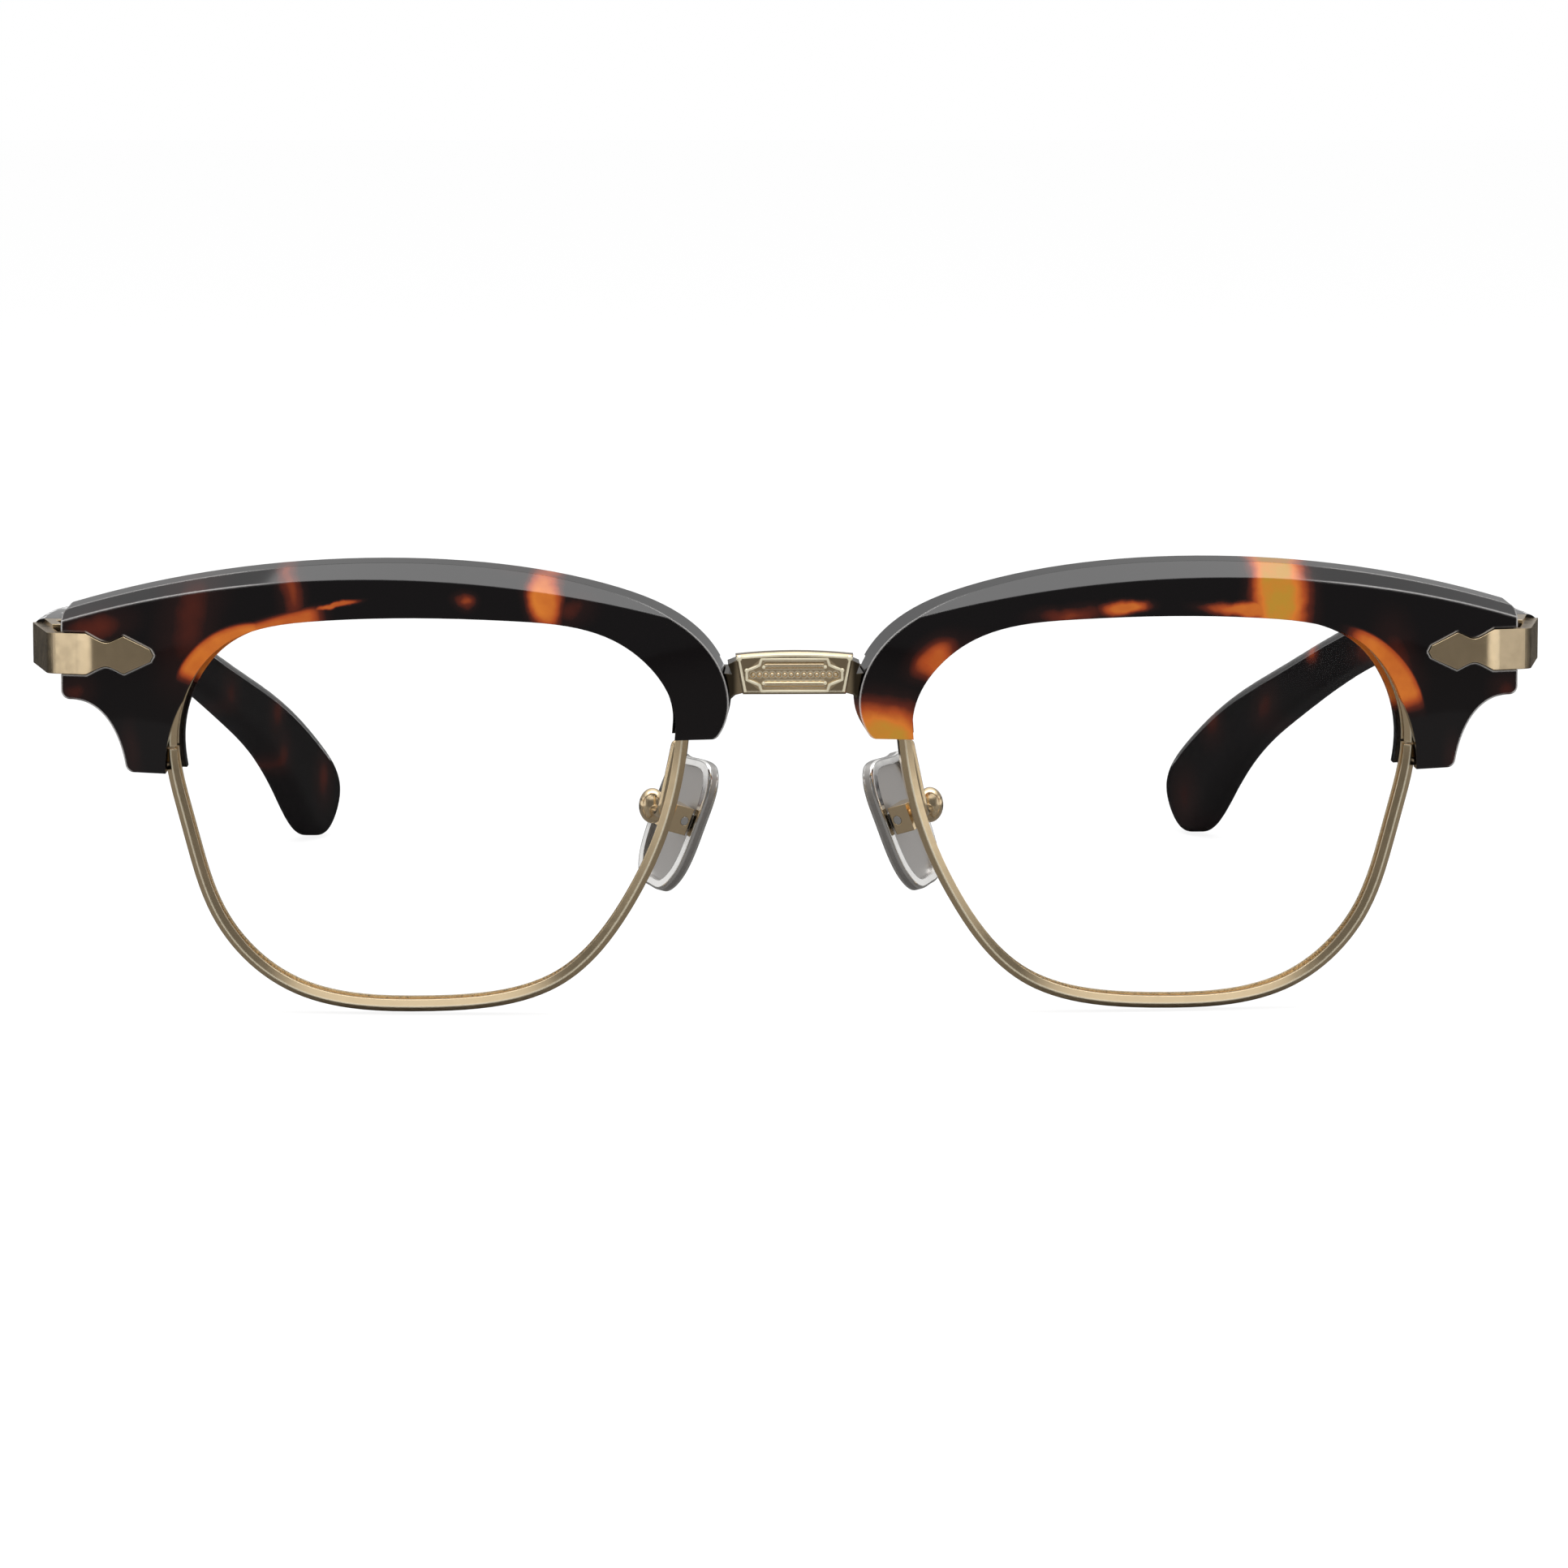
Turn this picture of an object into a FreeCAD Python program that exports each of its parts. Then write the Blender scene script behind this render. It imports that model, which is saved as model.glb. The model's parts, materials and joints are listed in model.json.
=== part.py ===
import FreeCAD, Part
import Sketcher
import math
import os
from FreeCAD import Placement, Rotation, Vector

doc = FreeCAD.newDocument("browline_glasses")
sheet = doc.addObject("Spreadsheet::Sheet", "sizes")

# driving sizes in mm and degrees
SIZES = {
    "lens_width": 48.6,
    "lens_height": 38.5,
    "lens_gap": 21.0,
    "lens_thickness": 1.2,
    "base_radius": 132.0,
    "face_angle": 4.0,
    "tilt_angle": 4.5,
    "setback": 69.7,
    "rim_outset": 0.65,
    "rim_inset": 0.55,
    "rim_depth": 2.2,
    "rim_back_wall": 0.2,
    "ridge_offset": 0.1,
    "ridge_fall": 0.45,
    "fit_gap": 0.05,
    "front_lip": 1.4,
    "back_lip_inset": 1.0,
    "brow_depth": 4.8,
    "brow_rise": 4.1,
    "brow_nasal_reach": 4.35,
    "brow_nasal_end": 6.9,
    "brow_end_reach": 10.6,
    "brow_end_drop": 1.2,
    "brow_end_height": 8.3,
    "lug_width": 4.2,
    "lug_bottom": 3.2,
    "brow_bevel": 1.25,
    "brow_corner": 0.8,
    "split_height": 5.4,
    "split_width": 0.2,
    "block_width": 2.4,
    "block_depth": 2.6,
    "block_lower": 1.3,
    "block_upper": 2.4,
    "closing_radius": 0.6,
    "closing_head": 0.95,
    "closing_head_rise": 0.5,
    "slot_width": 0.3,
    "slot_depth": 0.25,
    "bridge_width_top": 11.1,
    "bridge_width_bottom": 9.7,
    "bridge_height": 3.75,
    "bridge_drop": 6.05,
    "bridge_front": 0.4,
    "bridge_thickness": 1.3,
    "plaque_edge": 0.25,
    "panel_depth": 0.25,
    "panel_margin": 0.35,
    "bar_radius": 0.28,
    "bead_count": 14,
    "bead_radius": 0.24,
    "brow_clearance": 0.12,
    "tab_thickness": 0.9,
    "tab_reach": 3.6,
    "brow_screw_radius": 0.55,
    "brow_screw_head": 1.05,
    "brow_screw_length": 2.8,
    "brow_screw_rise": 0.5,
    "arrow_length": 10.2,
    "arrow_rise": 0.27,
    "strap_height": 3.9,
    "strap_thickness": 1.1,
    "strap_proud": 0.25,
    "strap_splay": 12.0,
    "strap_length": 11.0,
    "strap_bend": 1.5,
    "rivet_radius": 0.5,
    "rivet_head": 0.85,
    "rivet_rise": 0.35,
    "hinge_height": 4.6,
    "barrel_radius": 1.3,
    "barrel_gap": 0.06,
    "hinge_screw_radius": 0.7,
    "hinge_screw_head": 1.1,
    "hinge_head_rise": 0.6,
    "leaf_thickness": 1.3,
    "leaf_length": 9.0,
    "temple_reach": 125.5,
    "temple_thickness": 3.4,
    "temple_bow": 350.0,
    "temple_lead": 0.7,
    "temple_round": 1.1,
    "tip_height": 11.5,
    "core_width": 1.4,
    "core_thickness": 0.8,
    "pad_length": 13.2,
    "pad_width": 8.0,
    "pad_thickness": 1.3,
    "pad_spread": 11.45,
    "pad_setback": 11.0,
    "pad_height": 17.3,
    "pad_splay": 33.0,
    "pad_lean": 20.0,
    "pad_border": 0.85,
    "pad_recess": 0.45,
    "pad_edge": 0.25,
    "box_length": 2.7,
    "box_width": 2.7,
    "box_depth": 2.05,
    "box_forward": 1.9,
    "box_raise": 0.8,
    "pad_screw_radius": 0.42,
    "pad_screw_head": 0.75,
    "pad_screw_rise": 0.35,
    "arm_radius": 0.55,
    "arm_bend": 1.1,
    "knuckle_height": 1.7,
    "knuckle_width": 1.3,
    "knuckle_depth": 1.3,
    "knuckle_rise": 0.45,
    "foot_inset": 0.45,
    "foot_top": 5.6,
    "foot_bottom": -0.9,
}
for row, (alias, value) in enumerate(SIZES.items(), start=1):
    sheet.set("A%d" % row, alias)
    sheet.set("B%d" % row, str(value))
    sheet.setAlias("B%d" % row, alias)
doc.recompute()


def size(alias):
    return float(sheet.get(alias))


def bind(thing, **expressions):
    for prop, expression in expressions.items():
        thing.setExpression(prop, expression)
    return thing


def solid(name, kind, place=None, **expressions):
    thing = doc.addObject("Part::" + kind, name)
    if place is not None:
        thing.Placement = place
    return bind(thing, **expressions)


def cut(name, base, *tools):
    for number, tool in enumerate(tools):
        last = number == len(tools) - 1
        step = doc.addObject("Part::Cut", name if last else "%s_step%d" % (name, number))
        step.Base = base
        step.Tool = tool
        base = step
    return base


def fuse(name, *parts):
    joined = doc.addObject("Part::MultiFuse", name)
    joined.Shapes = list(parts)
    joined.Refine = True
    return joined


def common(name, *parts):
    for number, part in enumerate(parts[1:]):
        last = number == len(parts) - 2
        step = doc.addObject("Part::Common", name if last else "%s_step%d" % (name, number))
        step.Base = parts[0] if number == 0 else result
        step.Tool = part
        result = step
    return result


def outline(name, wire):
    thing = doc.addObject("Part::Feature", name)
    thing.Shape = wire
    return thing


def prism(name, wire, direction, forward, reverse=0.0):
    body = doc.addObject("Part::Extrusion", name)
    body.Base = outline(name + "_outline", wire)
    body.DirMode = "Custom"
    body.Dir = direction
    body.LengthFwd = forward
    body.LengthRev = reverse
    body.Solid = True
    return body


def soften(kind, name, base, reach, pick):
    doc.recompute()
    softened = doc.addObject("Part::" + kind, name)
    softened.Base = base
    edges = base.Shape.Edges
    softened.Edges = [(i + 1, reach, reach) for i, edge in enumerate(edges) if pick(edge)]
    return softened


def fillet(name, base, radius, pick):
    return soften("Fillet", name, base, radius, pick)


def chamfer(name, base, reach, pick):
    return soften("Chamfer", name, base, reach, pick)


def mirrored(name, source):
    twin = doc.addObject("Part::Mirroring", name)
    twin.Source = source
    twin.Normal = Vector(1, 0, 0)
    twin.Base = Vector(0, 0, 0)
    return twin


def polygon(points, place):
    return Part.makePolygon([place.multVec(p) for p in points + points[:1]])


half_width = size("lens_width") / 2
half_height = size("lens_height") / 2
radius = size("base_radius")
rim_half = half_height + size("rim_outset")
tilt = math.radians(size("tilt_angle"))
rim_sag = radius - math.sqrt((radius - size("front_lip")) ** 2 - rim_half ** 2)
stand = Placement(Vector(0, -size("setback"), 0), Rotation())
front = Placement(Vector(0, -size("setback"), -rim_sag * math.sin(tilt)),
                  Rotation(Vector(1, 0, 0), size("tilt_angle")))
face = math.radians(size("face_angle"))
nose_sag = radius - math.sqrt((radius - size("front_lip") - size("rim_depth") / 2) ** 2
                              - half_width ** 2)
eye_x = size("lens_gap") / 2 + half_width * math.cos(face) + nose_sag * math.sin(face)
eye = front.multiply(Placement(Vector(eye_x, 0, rim_half),
                               Rotation(Vector(0, 0, 1), size("face_angle"))))
eye_back = eye.Rotation.multVec(Vector(0, 1, 0))
eye_centre = eye.multVec(Vector(0, radius, 0))


def sag(u, w, depth=0.0):
    return radius - math.sqrt((radius - depth) ** 2 - u * u - w * w)


def eye_point(u, y, w):
    return eye.multVec(Vector(u, y, w))


def ball(name, expression):
    return solid(name, "Sphere", Placement(eye_centre, Rotation()), Radius=expression)


def shell(name, outer, inner):
    return cut(name, ball(name + "_outer", outer), ball(name + "_inner", inner))


# lens shape as shares of the half width and half height, from the nose round by the bottom
LENS_SHAPE = [(-1.0, 0.42), (-0.935, -0.05), (-0.79, -0.463), (-0.53, -0.85), (0.02, -1.0),
              (0.57, -0.89), (0.805, -0.60), (0.94, -0.10), (1.0, 0.36), (0.80, 0.83),
              (0.40, 0.972), (-0.35, 0.98), (-0.80, 0.84)]
lens_curve = Part.BSplineCurve()
lens_curve.interpolate([Vector(u * half_width, 0, w * half_height) for u, w in LENS_SHAPE],
                       PeriodicFlag=True)


def lens_points(offset, count=40):
    first, last = lens_curve.FirstParameter, lens_curve.LastParameter
    points = []
    for step in range(count):
        t = first + (last - first) * step / count
        along = lens_curve.tangent(t)[0]
        points.append(lens_curve.value(t) + Vector(-along.z, 0, along.x) * -offset)
    return points


def lens_wire(offset, shift=Vector(0, 0, 0)):
    curve = Part.BSplineCurve()
    start = Vector(0, -12, 0) + shift
    curve.interpolate([eye.multVec(p + start) for p in lens_points(offset)], PeriodicFlag=True)
    return Part.Wire(curve.toShape())


def lens_prism(name, offset, shift=Vector(0, 0, 0)):
    return prism(name, lens_wire(offset, shift), eye_back, 40.0)


def spline(points, place):
    curve = Part.BSplineCurve()
    curve.interpolate([place.multVec(p) for p in points])
    return curve.toShape()


def ring(name, profile):
    edges = []
    for offset, depth in profile:
        curve = Part.BSplineCurve()
        curve.interpolate([eye_point(p.x, sag(p.x, p.z, depth), p.z) for p in lens_points(offset)],
                          PeriodicFlag=True)
        edges.append(curve.toShape())
    skin = Part.makeShell([Part.makeRuledSurface(a, b) for a, b in zip(edges, edges[1:] + edges[:1])])
    skin.sewShape()
    body = Part.makeSolid(Part.Shell(skin.Faces))
    if body.Volume < 0:
        body.reverse()
    return outline(name, body)


# eyewire with a ridge round its front and a groove for the lens
gap = size("fit_gap")
rim_front = "sizes.base_radius - sizes.front_lip"
rim_face = size("front_lip")
rim_rear = rim_face + size("rim_depth")
rim_out, rim_in = size("rim_outset"), -size("rim_inset")
ridge_edge = rim_face + size("ridge_fall")
groove_back = rim_rear - size("rim_back_wall")
groove_face = groove_back - size("lens_thickness") - 2 * gap
rim_outside = [(rim_in, ridge_edge), (size("ridge_offset"), rim_face), (rim_out, ridge_edge),
               (rim_out, rim_rear), (rim_in, rim_rear)]
rim_groove = [(rim_in, groove_back), (gap, groove_back), (gap, groove_face), (rim_in, groove_face)]
split_side = half_width + size("rim_outset")
split_cut = solid("split_cut", "Box",
                  eye.multiply(Placement(Vector(split_side - 3, 0, size("split_height")
                                                - size("split_width") / 2), Rotation())),
                  Length="8", Width="14", Height="sizes.split_width")
rim_blank = ring("rim_blank", rim_outside + rim_groove)
left_eyewire = cut("left_eyewire", rim_blank, split_cut)
lens_back = rim_front + " - sizes.rim_depth + sizes.rim_back_wall + sizes.fit_gap"
lens_shell = shell("lens_shell", lens_back + " + sizes.lens_thickness", lens_back)
left_lens = common("left_lens", lens_shell, lens_prism("lens_prism", 0.0))


def screw(name, place, shank, length, head, rise, slot=True):
    body = doc.addObject("PartDesign::Body", name)
    top = "%s + %s" % (length, rise)
    corners = [("0", "0"), (shank, "0"), (shank, length), (head, length), (head, top), ("0", top)]
    plane = [item for item in body.Origin.OriginFeatures if item.Role == "XZ_Plane"][0]
    sketch = body.newObject("Sketcher::SketchObject", name + "_profile")
    sketch.AttachmentSupport = [(plane, "")]
    sketch.MapMode = "FlatFace"
    draw(sketch, corners)
    turned = body.newObject("PartDesign::Revolution", name + "_turned")
    turned.Profile = sketch
    turned.ReferenceAxis = (sketch, ["V_Axis"])
    turned.Angle = 360
    body.Tip = turned
    if slot:
        half = "sizes.slot_width / 2"
        floor = "%s - sizes.slot_depth" % top
        notch = body.newObject("Sketcher::SketchObject", name + "_notch")
        notch.AttachmentSupport = [(plane, "")]
        notch.MapMode = "FlatFace"
        above = "%s + sizes.slot_depth" % top
        draw(notch, [("-" + half, floor), (half, floor), (half, above), ("-" + half, above)])
        milled = body.newObject("PartDesign::Pocket", name + "_slot")
        milled.Profile = notch
        milled.Type = "ThroughAll"
        milled.Midplane = True
        body.Tip = milled
    body.Placement = place
    return body


def draw(sketch, corners):
    points = [Vector(number(x), number(y), 0) for x, y in corners]
    count = len(points)
    for i in range(count):
        sketch.addGeometry(Part.LineSegment(points[i], points[(i + 1) % count]))
    for i in range(count):
        sketch.addConstraint(Sketcher.Constraint("Coincident", i, 2, (i + 1) % count, 1))
    for i, (x, y) in enumerate(corners):
        for kind, axis, value, word in (("DistanceX", -2, points[i].x, x),
                                        ("DistanceY", -1, points[i].y, y)):
            if word == "0":
                sketch.addConstraint(Sketcher.Constraint("PointOnObject", i, 1, axis))
            else:
                made = sketch.addConstraint(Sketcher.Constraint(kind, -1, 1, i, 1, value))
                sketch.setExpression("Constraints[%d]" % made, word)


def number(expression):
    return float(sheet.evalExpression(expression))


def block(name, place, length, width, height):
    return solid(name, "Box", place, Length=length, Width=width, Height=height)


def along(place, x, y, z):
    return place.multiply(Placement(Vector(x, y, z), Rotation()))


def rod(name, start, direction, length, width):
    place = Placement(start, Rotation(Vector(0, 0, 1), direction))
    return solid(name, "Cylinder", place, Radius=width, Height=length)


# closing blocks and their screw, behind the lug of the brow
split = size("split_height")
half_split = size("split_width") / 2
block_y = sag(split_side, split, size("front_lip")) + 0.1
block_u = half_width - 0.4
block_span = "sizes.block_width + sizes.rim_outset + 0.4"
closing_u = split_side + size("block_width") / 2 + 0.1
closing_y = block_y + size("block_depth") / 2
lower_w = split - half_split - size("block_lower")
upper_w = split + half_split
closing_length = "sizes.block_lower + sizes.split_width + sizes.block_upper"
closing_bore = rod("closing_bore", eye_point(closing_u, closing_y, lower_w - 2),
                   eye.Rotation.multVec(Vector(0, 0, 1)), "12", "sizes.closing_radius + 0.03")
rim_tool = lens_prism("rim_tool", size("rim_outset"))
lower_stock = block("block_lower_stock", along(eye, block_u, block_y, lower_w),
                    block_span, "sizes.block_depth", "sizes.block_lower")
upper_stock = block("block_upper_stock", along(eye, block_u, block_y, upper_w),
                    block_span, "sizes.block_depth", "sizes.block_upper")
left_block_lower = cut("left_block_lower", lower_stock, rim_tool, closing_bore)
left_block_upper = cut("left_block_upper", upper_stock, rim_tool, closing_bore)
closing_place = eye.multiply(Placement(Vector(closing_u, closing_y, upper_w + size("block_upper")),
                                       Rotation(Vector(1, 0, 0), 180)))
left_closing_screw = screw("left_closing_screw", closing_place, "sizes.closing_radius",
                           closing_length, "sizes.closing_head", "sizes.closing_head_rise")

# brow: outline prism trimmed to the front curve, with a bevel along the top
nasal = -half_width - size("brow_nasal_reach")
nasal_end = size("brow_nasal_end")
rise = size("brow_rise")
end_u = half_width + size("brow_end_reach")
end_top = half_height - size("brow_end_drop")
end_bottom = end_top - size("brow_end_height")
lug_u = half_width + size("lug_width")
lug_w = size("lug_bottom")
brow_top = [(nasal + 1.1, nasal_end), (nasal, nasal_end + 2.4), (nasal + 0.7, half_height - 5.75),
            (nasal + 4.2, half_height - 0.4 * rise), (nasal + 11.2, half_height + 0.38 * rise),
            (-0.25 * half_width, half_height + 0.91 * rise), (0.233 * half_width, half_height + rise),
            (0.883 * half_width, half_height + 0.573 * rise), (end_u, end_top)]
brow_lug = [(end_u, end_bottom), (lug_u + 2.1, end_bottom - 1.3), (lug_u + 0.8, end_bottom - 3.4),
            (lug_u, lug_w)]
ahead = along(eye, 0, -12, 0)


def flat(points):
    return [Vector(u, 0, w) for u, w in points]


def run(place, *points):
    return Part.makePolygon([place.multVec(p) for p in flat(points)]).Edges


def brow_wire(place):
    low_run = [brow_lug[-1], (0.8 * half_width, lug_w), (-0.8 * half_width, nasal_end), brow_top[0]]
    return Part.Wire([spline(flat(brow_top), place)]
                     + run(place, brow_top[-1], brow_lug[0])
                     + [spline(flat(brow_lug), place)]
                     + run(place, *low_run))


brow_prism = prism("brow_prism", brow_wire(ahead), eye_back, 40.0)
brow_corners = [brow_top[0], brow_top[-1], brow_lug[0], brow_lug[-1]]


def at_corner(edge):
    if edge.Curve.TypeId != "Part::GeomLine":
        return False
    middle = ahead.inverse().multVec(edge.CenterOfMass)
    return any(math.hypot(middle.x - u, middle.z - w) < 0.2 for u, w in brow_corners)


brow_stock = fillet("brow_stock", brow_prism, size("brow_corner"), at_corner)
bevel = size("brow_bevel")
bevel_line = [(end_u, end_top - 0.7 * bevel), (0.19 * half_width, half_height + rise - bevel),
              (-half_width - 0.2, half_height - 0.97 * bevel)]
bevel_points = [Vector(u, sag(u, w), w) for u, w in bevel_line]
bevel_axis = (bevel_points[1] - bevel_points[0]).cross(bevel_points[2] - bevel_points[0]).normalize()
ball_centre = Vector(0, radius, 0)
bevel_centre = ball_centre + bevel_axis * (bevel_points[0] - ball_centre).dot(bevel_axis)
bevel_round = doc.addObject("Part::Cylinder", "bevel_round")
bevel_round.Radius = (bevel_points[0] - bevel_centre).Length
bevel_round.Height = 160
bevel_round.Placement = eye.multiply(Placement(bevel_centre - bevel_axis * 80,
                                               Rotation(Vector(0, 0, 1), bevel_axis)))
brow_shell = shell("brow_shell", "sizes.base_radius", "sizes.base_radius - sizes.brow_depth")
brow_blank = common("brow_blank", brow_stock, brow_shell, bevel_round)
lip_shell = shell("lip_shell", "sizes.base_radius + 2", rim_front + " - 0.6")
lip_open = common("lip_open", lip_shell, lens_prism("lip_prism", -size("rim_inset")))
lip_relief = common("lip_relief", lip_shell,
                    lens_prism("relief_prism", -size("rim_inset"), Vector(0.9, 0, -2.0)))
back_open = lens_prism("back_open", -size("back_lip_inset"))
channel_shell = shell("channel_shell", rim_front + " + sizes.fit_gap",
                      rim_front + " - sizes.rim_depth - sizes.fit_gap")
channel = common("channel", channel_shell, lens_prism("channel_prism", size("rim_outset") + gap))
block_pocket = block("block_pocket", along(eye, half_width, block_y - 0.1, lower_w - 0.65),
                     "sizes.block_width + sizes.rim_outset + 0.25", "20",
                     closing_length + " + 0.85")
driver_hole = rod("driver_hole", eye_point(closing_u, closing_y, lower_w - 6),
                  eye.Rotation.multVec(Vector(0, 0, 1)), "6", "sizes.closing_head + 0.1")

# endpiece: strap bent round the end of the brow, its front arm cut to an arrow
back_set = size("setback")
upright = Vector(0, 0, 1)
end_w = (end_top + end_bottom) / 2
brow_end = eye_point(end_u, sag(end_u, end_w), end_w)
arrow_z = brow_end.z + size("arrow_rise")
strap_half = size("strap_height") / 2
curve_x = eye_centre.x
curve_y = eye_centre.y
section = math.sqrt(radius ** 2 - (arrow_z - eye_centre.z) ** 2)
outer_arc = section + size("strap_proud")
inner_arc = outer_arc - size("strap_thickness")
splay = math.radians(size("strap_splay"))
rearward = Vector(math.sin(splay), math.cos(splay), 0)
outward = Vector(math.cos(splay), -math.sin(splay), 0)
inner_line = Vector(brow_end.x + 0.12, brow_end.y, arrow_z)
outer_line = inner_line + outward * size("strap_thickness")
hinge_y = brow_end.y + size("strap_length")
butt = 0.1


def meet_arc(point, reach):
    offset = point - Vector(curve_x, curve_y, arrow_z)
    half = offset.dot(rearward)
    root = math.sqrt(half ** 2 - offset.dot(offset) + reach ** 2)
    return point + rearward * min(-half - root, -half + root, key=abs)


def on_arc(x, reach):
    return Vector(x, curve_y - math.sqrt(reach ** 2 - (x - curve_x) ** 2), arrow_z)


def at_y(point, y):
    return point + rearward * ((y - point.y) / rearward.y)


def arc(first, last, reach):
    middle = on_arc((first.x + last.x) / 2, reach)
    return Part.Arc(first, middle, last).toShape()


def lines(*points):
    return Part.makePolygon(list(points)).Edges


corner_out = meet_arc(outer_line, outer_arc)
corner_in = meet_arc(inner_line, inner_arc)
tip_x = corner_out.x - size("arrow_length")
arm_out = on_arc(tip_x - 0.3, outer_arc)
arm_in = on_arc(tip_x - 0.3, inner_arc)
strap_end = hinge_y - butt
strap_wire = Part.Wire([arc(arm_out, corner_out, outer_arc)]
                       + lines(corner_out, at_y(outer_line, strap_end),
                               at_y(inner_line, strap_end), corner_in)
                       + [arc(corner_in, arm_in, inner_arc)]
                       + lines(arm_in, arm_out))
strap = prism("strap", strap_wire, upright, strap_half, strap_half)
strap_bent = fillet("strap_bent", strap, size("strap_bend"),
                    lambda edge: math.hypot(edge.CenterOfMass.x - corner_out.x,
                                            edge.CenterOfMass.y - corner_out.y) < 0.05)


def arrow_wire(grow):
    unit = size("arrow_length") / 9.9
    start = Placement(Vector(tip_x, -back_set - 20, arrow_z), Rotation())
    tip = [(-grow, 0), (0.3 * unit - grow, 0.3 * strap_half), (2.75 * unit, 0.9 * strap_half + grow)]
    waist = [tip[-1], (3.5 * unit, 0.72 * strap_half + grow), (4.35 * unit, 0.57 * strap_half + grow),
             (5.3 * unit, 0.72 * strap_half + grow), (6.3 * unit, strap_half + grow)]
    strap_run = [waist[-1], (24, strap_half + grow)]

    def half(mirror):
        return [[Vector(x, 0, mirror * z) for x, z in points] for points in (tip, waist, strap_run)]

    edges = []
    for mirror in (1, -1):
        straight, curved, back = half(mirror)
        edges += lines(*[start.multVec(p) for p in straight])
        edges.append(spline(curved, start))
        edges += lines(*[start.multVec(p) for p in back])
    edges += lines(start.multVec(Vector(24, 0, strap_half + grow)),
                   start.multVec(Vector(24, 0, -strap_half - grow)))
    return Part.Wire(Part.__sortEdges__(edges))


left_endpiece = common("left_endpiece", strap_bent,
                       prism("arrow", arrow_wire(0.0), Vector(0, 1, 0), 60.0))
recess_floor = "sizes.base_radius + sizes.strap_proud - sizes.strap_thickness - 0.12"
recess = common("recess", shell("recess_shell", "sizes.base_radius + 2", recess_floor),
                prism("recess_arrow", arrow_wire(0.08), Vector(0, 1, 0), 60.0))

# rivets through the brow behind the arrow plate
rivet_length = "sizes.brow_depth + sizes.strap_proud - sizes.strap_thickness + 0.01"
rivets = []
rivet_holes = []
for word, share in (("inner", 0.24), ("outer", 0.76)):
    foot = on_arc(tip_x + share * size("arrow_length"), inner_arc)
    inward = (Vector(curve_x, curve_y, arrow_z) - foot).normalize()
    place = Placement(foot, Rotation(upright, inward))
    rivets.append(screw("left_rivet_" + word, place, "sizes.rivet_radius", rivet_length,
                        "sizes.rivet_head", "sizes.rivet_rise", slot=False))
    rivet_holes.append(rod("rivet_hole_" + word, foot, inward, "8",
                           "sizes.rivet_radius + sizes.fit_gap"))

# hinge: barrels stand inside the temple so that the butt faces open as it folds
temple_in = at_y(outer_line, hinge_y).x - size("temple_thickness")
hinge_x = temple_in - size("barrel_radius") - 0.1
hinge = Placement(Vector(hinge_x, hinge_y, arrow_z), Rotation())
hinge_low = -size("hinge_height") / 2
wall = 1.7
leaf_span = 6.0
low = Vector(0, 0, hinge_low)
front_plan = [at_y(inner_line, strap_end), at_y(inner_line, hinge_y - leaf_span),
              at_y(inner_line - outward * 0.9, hinge_y - leaf_span),
              at_y(inner_line - outward * 0.9, hinge_y - wall),
              Vector(temple_in, hinge_y - wall, arrow_z), Vector(temple_in, strap_end, arrow_z)]
front_wall = prism("front_wall", polygon(front_plan, Placement(low, Rotation())), upright,
                   size("hinge_height"))
barrels = 3
slot_share = "sizes.hinge_height / %d" % barrels
web_height = slot_share + " - sizes.barrel_gap"
front_parts = [front_wall]
temple_parts = []
for level in range(barrels):
    base = hinge_low + level * size("hinge_height") / barrels + size("barrel_gap") / 2
    fixed = level % 2 == 0
    knuckle = solid("barrel_%d" % level, "Cylinder", along(hinge, 0, 0, base),
                    Radius="sizes.barrel_radius", Height=web_height)
    web_y = -size("barrel_radius") if fixed else butt
    web = block("web_%d" % level, along(hinge, 0, web_y, base),
                "sizes.barrel_radius + 0.4", "sizes.barrel_radius - %s" % butt, web_height)
    (front_parts if fixed else temple_parts).extend([knuckle, web])
hinge_bore = rod("hinge_bore", hinge.multVec(Vector(0, 0, -12)), upright, "24",
                 "sizes.hinge_screw_radius + 0.03")
left_front_hinge = cut("left_front_hinge", fuse("front_hinge_stock", *front_parts), hinge_bore)
screw_place = along(hinge, 0, 0, hinge_low)
left_hinge_screw = screw("left_hinge_screw", screw_place, "sizes.hinge_screw_radius",
                         "sizes.hinge_height", "sizes.hinge_screw_head", "sizes.hinge_head_rise")

# temple: side profile cut from a bowed slab
thick = size("temple_thickness")
bow = size("temple_bow")
lead = math.radians(size("temple_lead"))
mid_x = temple_in - hinge_x + thick / 2
bow_place = along(hinge, mid_x - bow * math.cos(lead), bow * math.sin(lead), -80)
drop = arrow_z
far = size("temple_reach")
deep = size("tip_height")
start_half = -hinge_low


def slab(name, spread):
    outer = solid(name + "_outer", "Cylinder", bow_place,
                  Radius="sizes.temple_bow + " + spread, Height="160")
    inner = solid(name + "_inner", "Cylinder", bow_place,
                  Radius="sizes.temple_bow - (%s)" % spread, Height="160")
    return cut(name, outer, inner)


def side(points):
    return [Vector(0, y, z) for y, z in points]


def temple_edge(reach_down):
    top = [(butt, start_half), (0.29 * far, 0.009 * reach_down), (0.58 * far, -0.165 * reach_down),
           (0.765 * far, -0.373 * reach_down), (0.957 * far, -reach_down + 0.93 * deep)]
    tip = [(far, -reach_down + 0.36 * deep), (0.972 * far, -reach_down)]
    low_run = [(0.892 * far, -reach_down + 0.49 * deep), (0.765 * far, -0.555 * reach_down),
               (0.58 * far, -0.31 * reach_down), (0.29 * far, -0.131 * reach_down), (butt, -start_half)]
    return side(top + tip + low_run)


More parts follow.
